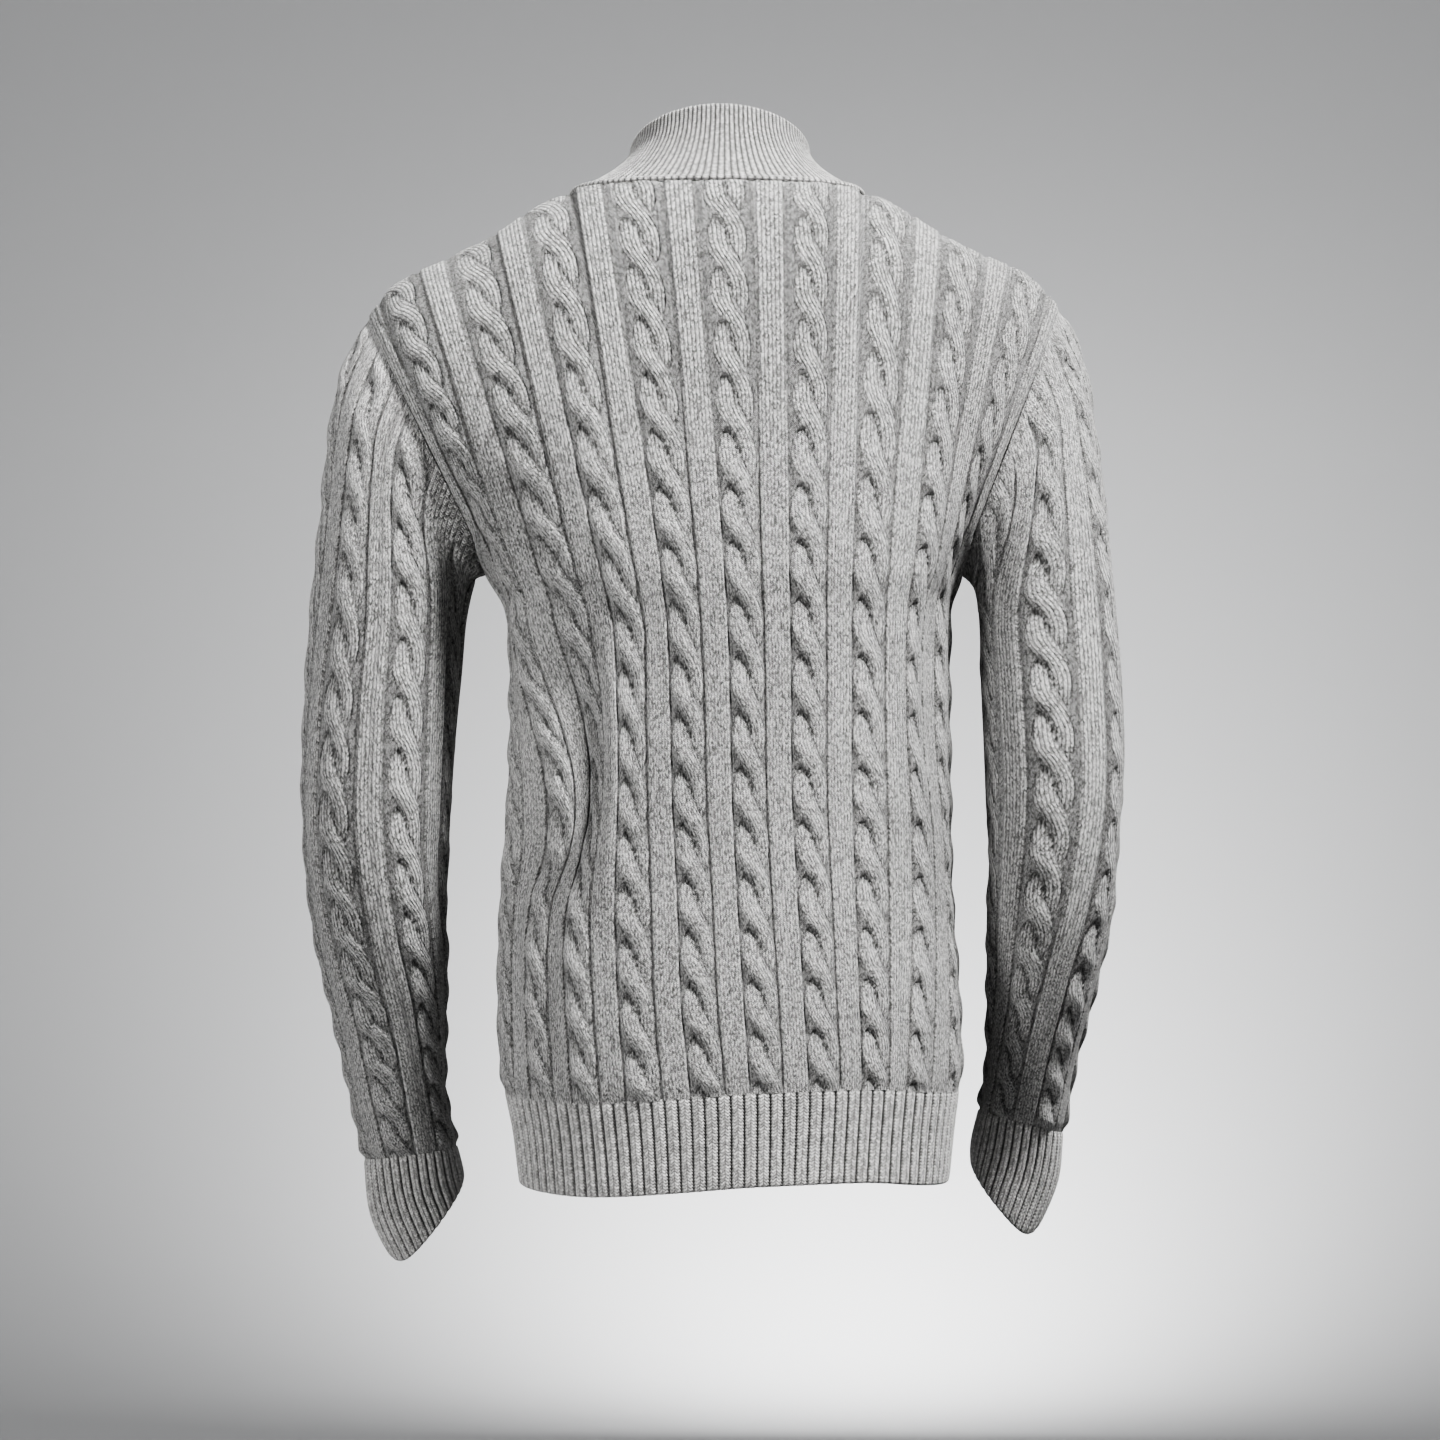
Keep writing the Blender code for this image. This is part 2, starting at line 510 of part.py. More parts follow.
def edge_loop(skin):
    """Vertices round a panel, anticlockwise as seen from outside."""
    left = [row[0] for row in skin.rows]
    right = [row[-1] for row in skin.rows]
    loop = skin.rows[0] + right[1:] + skin.rows[-1][::-1][1:] + left[::-1][1:-1]
    loop = list(dict.fromkeys(loop))
    return loop if skin.side == "back" else loop[::-1]


def lining_triangles(skin, loop):
    """Coarse triangles of the plain inside: knit places to add, and corner numbers."""
    step_wale, step_twist = LINING_STEP
    inner = []
    for row, twist in enumerate(np.arange(np.ceil(RIB_TWIST) + 0.5, TOP_TWIST - 0.3, step_twist)):
        reach = float(min(arm_edge(twist), arm_edge(twist + step_twist))) - LINING_FROM_EDGE
        count = int(reach / step_wale)
        at_neck = twist > LINING_NECK["twist"]
        at_underarm = UNDERARM_TWISTS[0] < twist < UNDERARM_TWISTS[1]
        fine_from = UNDERARM_WALE if at_underarm else LINING_NECK["fine_wale"] if at_neck else SIDE_WALE
        wales = [k * step_wale for k in range(-count, count + 1)]
        wales = [w for w in wales if row % LINING_EVERY == 0 or abs(w) > fine_from]
        if at_neck:
            low, high = LINING_NECK["left_out"]
            wales = [w for w in wales if not low <= abs(w) <= high]
            wales += [sign * w for w in NECK_SIDE_WALES + (LINING_NECK["side_wale"],) for sign in (-1, 1)]
        inner += [(w, twist) for w in wales]
    outline = [skin.places[v] for v in loop]
    flat = [(w * REPEAT, t * TWIST) for w, t in outline + inner]
    ring = list(range(len(loop)))
    found = delaunay_2d_cdt(flat, [], [ring], 1, 1e-7)
    origin = [source[0] for source in found[3]]
    return inner, [tuple(origin[v] for v in face) for face in found[2]]


def build_mesh(name, points, faces, finish, collection):
    mesh = bpy.data.meshes.new(name)
    mesh.from_pydata([tuple(p) for p in points], [], [tuple(int(v) for v in f) for f in faces])
    mesh.validate()
    if finish is GREY_WOOL:
        mesh.shade_smooth()
    material = bpy.data.materials.new(name + "_wool")
    material.use_nodes = True
    surface = material.node_tree.nodes["Principled BSDF"]
    surface.inputs["Base Color"].default_value = finish["colour"]
    surface.inputs["Roughness"].default_value = finish["roughness"]
    surface.inputs["Metallic"].default_value = 0.0
    mesh.materials.append(material)
    piece = bpy.data.objects.new(name, mesh)
    collection.objects.link(piece)
    return piece


def make_panel(name, skin, loop, mitres, collection):
    """Give a panel its wall: raised outside, plain inside, and a mitred edge all round."""
    count = len(skin.points)
    outward = skin.wales if skin.side == "back" else -skin.wales
    relief = cable_relief(outward, skin.twists)
    relief[loop] = 0
    outside = skin.points + skin.normals * relief[:, None]
    edge = inset(skin.points[loop], mitres)
    outside[loop] = edge
    inner, lining = lining_triangles(skin, loop)
    wales, twists = np.array(inner).T
    inside = body_surface(skin.side, wales, twists) \
        - WALL * body_normal(skin.side, wales, twists, body_surface)
    points = np.concatenate([outside, edge - WALL * mitres, inside])
    faces = list(skin.triangles)
    for k, vertex in enumerate(loop):
        after = (k + 1) % len(loop)
        faces += [(vertex, count + k, loop[after]), (loop[after], count + k, count + after)]
    flip = skin.side == "back"
    faces += [tuple(count + v for v in (t[::-1] if flip else t)) for t in lining]
    return build_mesh(name, points, faces, GREY_WOOL, collection)


def make_tube(name, rings, lining, closed, finish, collection):
    """A wall from rings of outside points and coarser rings of inside points, from top to bottom.

    Each ring is (points, places), and it runs rightwards as seen from outside.
    """
    points, outside, inside = [], [], []
    for group, store in ((rings, outside), (lining, inside)):
        for ring, places in group:
            store.append([(len(points) + k, place) for k, place in enumerate(places)])
            points.extend(ring)
    faces = []
    for high, low in zip(outside, outside[1:]):
        faces += stitch(low, high, closed)
    for high, low in zip(inside, inside[1:]):
        faces += [t[::-1] for t in stitch(low, high, closed)]
    faces += stitch(outside[0], inside[0], closed)
    faces += [t[::-1] for t in stitch(outside[-1], inside[-1], closed)]
    if not closed:
        for k in (0, -1):
            side = [ring[k][0] for ring in outside]
            back = [ring[k][0] for ring in inside]
            strip = stitch(list(zip(side, np.linspace(0, 1, len(side)))),
                           list(zip(back, np.linspace(0, 1, len(back)))))
            faces += [t[::-1] for t in strip] if k == 0 else strip
    return build_mesh(name, points, faces, finish, collection)


# Pieces --------------------------------------------------------------------------------------------

def seam_mitres(points, normals, others):
    """Mean outward direction where pieces meet: own normals plus those of any piece at the point."""
    mitres = normals.copy()
    for other_points, other_normals in others:
        distance = np.linalg.norm(points[:, None] - other_points[None], axis=-1)
        near = distance.argmin(axis=1)
        touching = distance[np.arange(len(points)), near] < 1e-5
        mitres[touching] += other_normals[near[touching]]
    return unit(mitres)


def neck_mitres(points):
    """Slant of the neck seam's edge: outwards from the neck and up."""
    turn = neck_turn(points)
    slant = np.full_like(turn, NECK_SLANT)
    return unit(np.stack([np.sin(turn), -np.cos(turn), slant], axis=-1))


def neck_turn(points):
    depth = np.where(points[:, 1] < NECK["y"], NECK["back"], NECK["front"])
    return np.arctan2((points[:, 0] - NECK["x"]) / NECK["half_width"], (NECK["y"] - points[:, 1]) / depth)


def armhole_loop(side, back, front):
    """Loop of armhole seam points, by turn round the sleeve's top section."""
    rows = [k for k, twist in enumerate(panel_rows()) if twist >= 0]
    end = 0 if side == "left" else -1
    behind = [back.rows[k][end] for k in rows]
    ahead = [front.rows[k][end] for k in rows][1:-1]
    points = np.concatenate([back.points[behind], front.points[ahead]])
    table = SLEEVE[side]
    outer = np.array([table["outer_x"][-1], table["outer_z"][-1]])
    inner = np.array([table["inner_x"][-1], table["inner_z"][-1]])
    middle, half = (outer + inner) / 2, (outer - inner) / 2
    if side == "left":
        half = -half
    across = (points[:, [0, 2]] - middle) @ half / np.linalg.norm(half)
    turns = np.arctan2(across, table["forward"][-1] - points[:, 1])
    order = np.argsort(turns)
    return {"turns": turns[order], "points": points[order]}


def sleeve_normals(side, wale, twist, armhole):
    high = np.minimum(twist + NUDGE, SLEEVE_TOP)
    low = np.maximum(twist - NUDGE, SLEEVE_TWISTS[0])
    across = sleeve_surface(side, wale + NUDGE, twist, armhole) \
        - sleeve_surface(side, wale - NUDGE, twist, armhole)
    up = sleeve_surface(side, wale, high, armhole) - sleeve_surface(side, wale, low, armhole)
    return unit(np.cross(across, up))


def sleeve_top_normals(side, armhole):
    """Outward directions of the sleeve along the armhole seam."""
    turns = armhole["turns"]
    ring = armhole["points"]
    below = sleeve_at(side, turns, np.full_like(turns, SLEEVE_TOP - 0.4), armhole)
    along = np.roll(ring, -1, axis=0) - np.roll(ring, 1, axis=0)
    return unit(np.cross(along, ring - below))


def sleeve_ring(side, wales, twist, armhole, raised, depth):
    """A ring of a sleeve: its cloth with the cables on it, or that cloth's inside."""
    row = np.full_like(wales, twist)
    turn = sleeve_turn(side, wales, row)
    shift = np.full_like(wales, -depth)
    if raised:
        inward = 0.5 + 0.5 * np.sin(turn if side == "left" else -turn)
        shift += cable_relief(wales, row) * ease((SLEEVE_TOP - twist) / (1 + 3 * inward ** 2))
    normals = sleeve_normals(side, wales, row, armhole)
    return ordered(sleeve_surface(side, wales, row, armhole) + normals * shift[:, None], turn)


def make_sleeve(side, armhole, mitres, collection):
    """Sleeve from the armhole seam to the rib line of its cuff. Returns its last ring and mitres."""
    places = armhole["turns"] / (2 * np.pi) + 0.5
    top = inset(armhole["points"][::-1], mitres[::-1])[::-1]
    parts = [([(top, places)], [(top - WALL * mitres, places)])]
    offsets = (-CABLE_HALF, -CREST, CREST, CABLE_HALF)
    half_gap = SEAM_GAP / 2 / TWIST
    twists = np.arange(np.floor((SLEEVE_TOP - 0.3) / ROW_STEP) * ROW_STEP, SLEEVE_TWISTS[0] + 0.25,
                       -ROW_STEP)
    for twist in twists:
        more = (0.5,) if twist > SLEEVE_BAND_FROM else ()
        wales = np.array([r + o for r in range(-3, 4) for o in offsets + more])
        coarse = np.array([r + o for r in range(-3, 4)
                           for o in ((0, 0.5) if twist < SLEEVE_FINE_BELOW else (0, 0.25, 0.5, 0.75))])
        depth = WALL * (UNDERARM_WALL if twist > SLEEVE_FINE_BELOW else 1)
        cut = twist in SLEEVE_CUTS
        for level in (twist + half_gap, twist - half_gap) if cut else (twist,):
            if cut and level < twist:
                parts.append(([], []))
            parts[-1][0].append(sleeve_ring(side, wales, level, armhole, True, 0.0))
            steps = twist / SLEEVE_LINING_STEP
            if abs(steps - round(steps)) < 1e-6:
                parts[-1][1].append(sleeve_ring(side, coarse, level, armhole, False, depth))
    row = np.full_like(wales, SLEEVE_TWISTS[0])
    turn = sleeve_turn(side, wales, row)
    end_ring, end_places = ordered(sleeve_surface(side, wales, row, armhole), turn)
    end_mitres = ordered(sleeve_normals(side, wales, row, armhole), turn)[0]
    last = inset(end_ring, end_mitres)
    parts[-1][0].append((last, end_places))
    parts[-1][1].append((last - WALL * end_mitres, end_places))
    for name, (rings, lining) in zip(SLEEVE_PARTS, parts):
        make_tube(f"sleeve_{side}_{name}", rings, lining, True, GREY_WOOL, collection)
    return end_ring, end_mitres, end_places


def ordered(points, turns):
    """A ring sorted by turn, with its places from 0 to 1."""
    wrapped = (turns + np.pi) % (2 * np.pi) - np.pi
    order = np.argsort(wrapped)
    return points[order], wrapped[order] / (2 * np.pi) + 0.5


def along_seam(points, mitres, places, wanted, closed):
    """Points and mitres on the straight stretches between a seam's vertices."""
    period = 1.0 if closed else None
    return [np.stack([np.interp(wanted, places, axis, period=period) for axis in values.T], axis=-1)
            for values in (points, mitres)]


def rib_relief(places, rise):
    """Crests and furrows in turn, half a rib apart."""
    crest = np.arange(len(places)) % 2 == 0
    return np.where(crest, rise, -FURROW_SHARE * rise)


def make_cuff(side, end_ring, end_mitres, end_places, collection):
    places = np.arange(CUFF_RIBS * 2) / (CUFF_RIBS * 2)
    relief = rib_relief(places, RIB_RISE["cuff"])
    edge = inset(end_ring[::-1], end_mitres[::-1])[::-1]
    top, _ = along_seam(edge, end_mitres, end_places, places, True)
    rings = [(top, places)]
    lining = [(edge - WALL * end_mitres, end_places)]
    coarse = np.arange(LINING_COUNT["cuff"]) / LINING_COUNT["cuff"]
    for share in RIB_ROWS["cuff"]:
        for group, spots in ((rings, places), (lining, coarse)):
            turn = (spots - 0.5) * 2 * np.pi
            level = np.full_like(turn, share)
            across = cuff_surface(side, turn + NUDGE, level) - cuff_surface(side, turn - NUDGE, level)
            up = cuff_surface(side, turn, np.maximum(level - NUDGE, 0)) \
                - cuff_surface(side, turn, np.minimum(level + NUDGE, 1))
            normal = unit(np.cross(across, up))
            keep = RIB_AT_RIM if share == 1.0 else 1.0
            shift = relief * keep if group is rings else np.full_like(turn, -WALL)
            group.append((cuff_surface(side, turn, level) + normal * shift[:, None], spots))
    make_tube(f"cuff_{side}_rib", rings, lining, True, GREY_RIB, collection)


def make_hem(side, skin, mitre_of, collection):
    """Hem rib of a panel, from the panel's lowest row down."""
    row = skin.rows[0] if side == "back" else skin.rows[0][::-1]
    wales = skin.wales[row]
    seam = skin.points[row]
    mitres = np.array([mitre_of[v] for v in row])
    arc = np.concatenate([[0], np.cumsum(np.linalg.norm(np.diff(seam, axis=0), axis=1))])
    seam_places = arc / arc[-1]
    places = np.linspace(0, 1, HEM_RIBS * 2 + 1)
    relief = rib_relief(places, RIB_RISE["hem"]) * ease(np.minimum(places, 1 - places) / HEM_SIDE)

    def ring_at(spots, share):
        wale = np.interp(spots, seam_places, wales)
        line = RIB_Z + smooth(wale, LINE_WALES, LINE_DIP)
        return body_ring(side, wale, line - share * HEM_LENGTH[side])

    def tucked(ring):
        """Keep clear of the side seams by half a gap."""
        ring = ring.copy()
        for k, ahead in ((0, 1), (-1, -2)):
            ring[k] += unit(ring[ahead] - ring[k]) * SEAM_GAP / 2
        return ring

    edge = tucked(inset(seam[::-1], mitres[::-1], closed=False)[::-1])
    top, _ = along_seam(edge, mitres, seam_places, places, False)
    rings = [(top, places)]
    lining = [(edge - WALL * mitres, seam_places)]
    coarse = np.linspace(0, 1, LINING_COUNT["hem"] + 1)
    for share in RIB_ROWS["hem"]:
        for group, spots in ((rings, places), (lining, coarse)):
            ring = ring_at(spots, share)
            across = np.gradient(ring, axis=0)
            up = ring_at(spots, share - 0.1) - ring_at(spots, share)
            normal = unit(np.cross(across, up))
            for k in (0, -1):
                level = mitres[k] - up[k] * (mitres[k] @ up[k]) / (up[k] @ up[k])
                normal[k] = unit(level)
            keep = RIB_AT_RIM if share == 1.0 else 1.0
            shift = relief * keep if group is rings else np.full_like(spots, -WALL)
            group.append((tucked(ring) + normal * shift[:, None], spots))
    make_tube(f"hem_{side}_rib", rings, lining, False, GREY_RIB, collection)


def make_collar(seam, mitres, collection):
    """Stand collar, from the neck seam up to its rim."""
    turns = neck_turn(seam)
    order = np.argsort(turns)
    seam, mitres, seam_places = seam[order], mitres[order], turns[order] / (2 * np.pi) + 0.5
    places = np.arange(COLLAR_RIBS * 2) / (COLLAR_RIBS * 2)
    relief = rib_relief(places, RIB_RISE["collar"])
    edge = inset(seam, mitres)
    base, _ = along_seam(edge, mitres, seam_places, places, True)
    rings, lining = [], []
    coarse = np.arange(LINING_COUNT["collar"]) / LINING_COUNT["collar"]
    for share in RIB_ROWS["collar"]:
        for group, spots in ((rings, places), (lining, coarse)):
            turn = (spots - 0.5) * 2 * np.pi
            level = np.full_like(turn, share)
            across = collar_surface(turn + NUDGE, level) - collar_surface(turn - NUDGE, level)
            up = collar_surface(turn, np.minimum(level + NUDGE, 1)) \
                - collar_surface(turn, np.maximum(level - NUDGE, 0))
            normal = unit(np.cross(across, up))
            keep = RIB_AT_RIM if share == 1.0 else 1.0
            shift = relief * keep if group is rings else np.full_like(turn, -WALL)
            group.append((collar_surface(turn, level) + normal * shift[:, None], spots))
    rings.append((base, places))
    lining.append((edge - WALL * mitres, seam_places))
    make_tube("collar", rings, lining, True, GREY_RIB, collection)


def main():
    for old in list(bpy.data.objects):
        bpy.data.objects.remove(old, do_unlink=True)
    collection = bpy.data.collections.new("cable_knit_sweater")
    bpy.context.scene.collection.children.link(collection)

    skins = {side: panel_skin(side) for side in ("back", "front")}
    loops = {side: edge_loop(skins[side]) for side in skins}
    edges = {side: (skins[side].points[loops[side]], skins[side].normals[loops[side]])
             for side in skins}
    armholes = {side: armhole_loop(side, skins["back"], skins["front"])
                for side in ("left", "right")}
    sleeve_edges = {side: (armholes[side]["points"], sleeve_top_normals(side, armholes[side]))
                    for side in armholes}

    neck = [vertex for vertex in skins["back"].rows[-1]
            if abs(skins["back"].wales[vertex]) <= NECK_WALE + 1e-6]
    front_neck = [vertex for vertex in skins["front"].rows[-1]
                  if abs(skins["front"].wales[vertex]) < NECK_WALE - 1e-6]
    neck_points = np.concatenate([skins["back"].points[neck], skins["front"].points[front_neck]])
    for side, other in (("back", "front"), ("front", "back")):
        neighbours = [edges[other], sleeve_edges["left"], sleeve_edges["right"]]
        mitres = seam_mitres(*edges[side], neighbours)
        at_neck = (skins[side].twists[loops[side]] == TOP_TWIST) \
            & (np.abs(skins[side].wales[loops[side]]) < NECK_WALE + 1e-6)
        mitres[at_neck] = neck_mitres(skins[side].points[loops[side]][at_neck])
        make_panel(side, skins[side], loops[side], mitres, collection)
        mitre_of = dict(zip(loops[side], mitres))
        make_hem(side, skins[side], mitre_of, collection)

    for side in ("left", "right"):
        points, normals = sleeve_edges[side]
        mitres = seam_mitres(points, normals, [edges["back"], edges["front"]])
        end = make_sleeve(side, armholes[side], mitres, collection)
        make_cuff(side, *end, collection)

    make_collar(neck_points, neck_mitres(neck_points), collection)


main()
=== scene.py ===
"""Light grey cable knit jumper, seen from behind as it is worn.

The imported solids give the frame: metres, +Z up, the back of the jumper faces -Y, and the origin is
the centre of the neck at its back seam. Places on the cloth are in knit units: "wale" counts cable
repeats sideways and "twist" counts cable twists upwards from the underarm.
"""

import bpy
import numpy as np
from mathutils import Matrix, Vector


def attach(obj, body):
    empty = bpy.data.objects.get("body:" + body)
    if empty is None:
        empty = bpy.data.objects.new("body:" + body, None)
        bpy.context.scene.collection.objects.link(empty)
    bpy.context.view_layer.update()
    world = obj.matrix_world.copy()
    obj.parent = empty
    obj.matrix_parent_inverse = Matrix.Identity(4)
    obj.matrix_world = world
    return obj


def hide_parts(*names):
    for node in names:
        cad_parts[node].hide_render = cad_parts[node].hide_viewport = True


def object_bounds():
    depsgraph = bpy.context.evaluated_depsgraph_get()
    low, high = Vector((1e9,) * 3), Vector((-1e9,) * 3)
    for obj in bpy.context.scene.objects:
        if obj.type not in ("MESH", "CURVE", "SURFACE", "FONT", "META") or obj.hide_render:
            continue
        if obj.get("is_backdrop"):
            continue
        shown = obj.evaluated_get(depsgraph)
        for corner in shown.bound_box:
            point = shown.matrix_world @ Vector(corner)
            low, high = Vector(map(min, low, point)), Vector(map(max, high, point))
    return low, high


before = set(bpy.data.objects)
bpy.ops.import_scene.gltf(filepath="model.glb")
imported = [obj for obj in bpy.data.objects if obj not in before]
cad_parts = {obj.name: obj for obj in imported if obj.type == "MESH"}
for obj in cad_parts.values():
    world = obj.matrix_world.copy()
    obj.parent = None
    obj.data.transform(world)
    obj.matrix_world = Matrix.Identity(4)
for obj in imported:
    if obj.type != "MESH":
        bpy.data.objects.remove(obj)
solid_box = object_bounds()


# ------------------------------------------------------------
# Camera and studio
# A long lens looks level at the middle of the back from a little over three metres. The floor runs
# up into a round cove all the way about. A soft light stands high on the right, a weaker one fills
# from the left by the camera, one stands beyond the jumper, and two more lift the cove.
# ------------------------------------------------------------
CAMERA_PLACE = (-0.0055, -3.2, -0.366)
CAMERA_LENS, CAMERA_SENSOR = 115.9, 36
COVE = {"floor": -1.45, "radius": 5.2, "bend": 1.6, "top": 3.4, "facets": 72, "bend_steps": 12}
COVE_COLOUR, COVE_ROUGHNESS = (0.30, 0.301, 0.304, 1), 0.9
LIGHTS = (  # name, place, what it points at, size in metres, power in watts
    ("key_softbox", (1.45, -1.25, 2.35), (0.0, 0.0, -0.15), 0.7, 292),
    ("fill_softbox", (-2.0, -2.2, 0.3), (0.0, 0.0, -0.38), 0.8, 62),
    ("front_fill", (0.6, 3.0, 0.9), (0.0, 0.0, -0.35), 2.0, 30),
    ("cove_glow", (0.2, 3.8, -0.70), (0.25, 5.2, -0.85), 0.9, 44),
    ("top_wash", (0.0, -0.4, 3.0), (0.0, 0.0, -1.4), 1.6, 6),
)
AIR_COLOUR, AIR_STRENGTH = (0.9, 0.92, 0.95, 1), 0.12

camera = bpy.data.objects.new("camera", bpy.data.cameras.new("camera"))
camera.location = CAMERA_PLACE
camera.rotation_euler = (np.pi / 2, 0, 0)
camera.data.lens = CAMERA_LENS
camera.data.sensor_width = CAMERA_SENSOR
bpy.context.scene.collection.objects.link(camera)
bpy.context.scene.camera = camera


def cove_mesh():
    """Floor disc, round bend and wall as one turned sheet."""
    bend = np.linspace(0, np.pi / 2, COVE["bend_steps"] + 1)
    flat = COVE["radius"] - COVE["bend"]
    profile = [(r, COVE["floor"]) for r in (0.0, flat / 3, flat / 1.5, flat)]
    profile += [(flat + COVE["bend"] * np.sin(a),
                 COVE["floor"] + COVE["bend"] * (1 - np.cos(a))) for a in bend[1:]]
    profile += [(COVE["radius"], COVE["top"])]
    count = COVE["facets"]
    turns = np.linspace(0, 2 * np.pi, count, endpoint=False)
    points = [(0, 0, COVE["floor"])]
    points += [(r * np.cos(t), r * np.sin(t), z) for r, z in profile[1:] for t in turns]
    faces = [(0, 1 + k, 1 + (k + 1) % count) for k in range(count)]
    for ring in range(len(profile) - 2):
        low, high = 1 + ring * count, 1 + (ring + 1) * count
        faces += [(low + k, low + (k + 1) % count, high + (k + 1) % count, high + k)
                  for k in range(count)]
    mesh = bpy.data.meshes.new("cove")
    mesh.from_pydata(points, [], faces)
    mesh.shade_smooth()
    return mesh


cove = bpy.data.objects.new("cove", cove_mesh())
bpy.context.scene.collection.objects.link(cove)
paint = bpy.data.materials.new("cove_paint")
paint.use_nodes = True
paint.node_tree.nodes["Principled BSDF"].inputs["Base Color"].default_value = COVE_COLOUR
paint.node_tree.nodes["Principled BSDF"].inputs["Roughness"].default_value = COVE_ROUGHNESS
cove.data.materials.append(paint)
cove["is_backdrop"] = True

for name, place, target, size, power in LIGHTS:
    light = bpy.data.objects.new(name, bpy.data.lights.new(name, "AREA"))
    light.data.shape = "DISK"
    light.data.size = size
    light.data.energy = power
    light.location = place
    light.rotation_euler = (Vector(target) - Vector(place)).to_track_quat("-Z", "Y").to_euler()
    bpy.context.scene.collection.objects.link(light)

bpy.context.scene.view_settings.look = "AgX - High Contrast"

world = bpy.data.worlds.new("studio")
world.use_nodes = True
world.node_tree.nodes["Background"].inputs["Color"].default_value = AIR_COLOUR
world.node_tree.nodes["Background"].inputs["Strength"].default_value = AIR_STRENGTH
bpy.context.scene.world = world


# ------------------------------------------------------------
# Wool
# A soft yarn spun from white, pale grey and charcoal fibres, which show as fine flecks. The stitches
# stand up as small "V"s in the knit and lie as slanted ticks where the purl side shows. The UV map
# "stitches" counts stitches sideways and rows upwards.
# Painted shade darkens the gaps between the stitches and, through a mask on the points, the creases, rims and
# furrows of the cables and ribs.
# ------------------------------------------------------------
LEG_SLANT, LEG_DIP = 1.7, 0.25
WALE_ROUNDNESS, WALE_ROUNDNESS_STRETCHED = 0.5, 0.7
PURL_SLANT, PURL_SHARPNESS, GAP_SHARPNESS = 2.6, 1.6, 1.4
FIBRE_SCALE, FIBRE_DETAIL, FIBRE_ROUGHNESS, MOTTLE_SCALE = 1750.0, 1.5, 0.6, 9.0
FIBRE_SHARE, STITCH_SHARE, MOTTLE_SHARE = 0.62, 0.20, 0.08
FLECK_FROM, FLECK_TO = 0.33, 0.60
# Painted shade: colours multiplied into the wool in the gaps between stitches and in the creases, rims and
# furrows.
GAP_SHADE, FURROW_SHADE = (0.30, 0.30, 0.30, 1), (0.16, 0.16, 0.155, 1)
NAP_HEIGHT, TUCK_HEIGHT = 0.7, 1.6
WOOL_FINISH = {"Roughness": 0.92, "Specular IOR Level": 0.22, "Sheen Weight": 0.35,
               "Sheen Roughness": 0.45, "Sheen Tint": (0.95, 0.95, 0.95, 1)}


def link(tree, pairs):
    for source, target in pairs:
        tree.links.new(source, target)


def maths(tree):
    """Gives a function that adds a Math node fed by numbers or sockets and returns its output."""
    def add(operation, *values):
        node = tree.nodes.new("ShaderNodeMath")
        node.operation = operation
        for socket, value in zip(node.inputs, values):
            if isinstance(value, (int, float)):
                socket.default_value = value
            else:
                tree.links.new(value, socket)
        return node.outputs[0]
    return add


def mix_node(tree, kind, blend="MIX"):
    node = tree.nodes.new("ShaderNodeMix")
    node.data_type, node.blend_type = kind, blend
    return node


def new_group(name, inputs, outputs):
    group = bpy.data.node_groups.new(name, "ShaderNodeTree")
    for label, kind, value in inputs:
        socket = group.interface.new_socket(label, in_out="INPUT", socket_type=kind)
        if value is not None:
            socket.default_value = value
    for label, kind in outputs:
        group.interface.new_socket(label, in_out="OUTPUT", socket_type=kind)
    return group, group.nodes.new("NodeGroupInput"), group.nodes.new("NodeGroupOutput")


def stitch_group():
    """Height of the knit's stitches, 0 to 1, the gaps between them for painted shade and a chance tone for
    each leg.
    """
    group, given, result = new_group(
        "knit_stitches",
        [("Stitches", "NodeSocketVector", None), ("Purl", "NodeSocketFloat", 0.0),
         ("Stretch", "NodeSocketFloat", 0.0)],
        [("Height", "NodeSocketFloat"), ("Gap", "NodeSocketFloat"), ("Tone", "NodeSocketFloat")])
    do = maths(group)
    split = group.nodes.new("ShaderNodeSeparateXYZ")
    link(group, [(given.outputs["Stitches"], split.inputs[0])])
    across, up = split.outputs[0], split.outputs[1]
    place = do("FRACT", across)
    from_middle = do("ABSOLUTE", do("SUBTRACT", place, 0.5))
    slanted = do("SUBTRACT", up, do("MULTIPLY", from_middle, LEG_SLANT))
    leg = do("SINE", do("MULTIPLY", do("FRACT", slanted), np.pi))
    wale_side = do("SINE", do("MULTIPLY", place, np.pi))
    roundness = do("ADD", WALE_ROUNDNESS,
                   do("MULTIPLY", given.outputs["Stretch"], WALE_ROUNDNESS_STRETCHED))
    knit = do("MULTIPLY", do("ADD", LEG_DIP, do("MULTIPLY", leg, 1 - LEG_DIP)),
              do("POWER", wale_side, roundness))
    herringbone = do("ADD", up, do("MULTIPLY", from_middle, PURL_SLANT))
    tick = do("SINE", do("MULTIPLY", do("FRACT", herringbone), np.pi))
    mix = mix_node(group, "FLOAT")
    link(group, [(given.outputs["Purl"], mix.inputs[0]), (knit, mix.inputs[2]),
                 (do("POWER", tick, PURL_SHARPNESS), mix.inputs[3]),
                 (mix.outputs[0], result.inputs["Height"])])
    gap = do("SUBTRACT", 1.0, mix.outputs[0])
    leg_place = group.nodes.new("ShaderNodeCombineXYZ")
    tone = group.nodes.new("ShaderNodeTexWhiteNoise")
    tone.noise_dimensions = "2D"
    link(group, [(do("FLOOR", do("MULTIPLY", across, 2.0)), leg_place.inputs[0]),
                 (do("FLOOR", slanted), leg_place.inputs[1]),
                 (leg_place.outputs[0], tone.inputs["Vector"]),
                 (tone.outputs["Value"], result.inputs["Tone"]),
                 (do("POWER", gap, GAP_SHARPNESS), result.inputs["Gap"])])
    return group


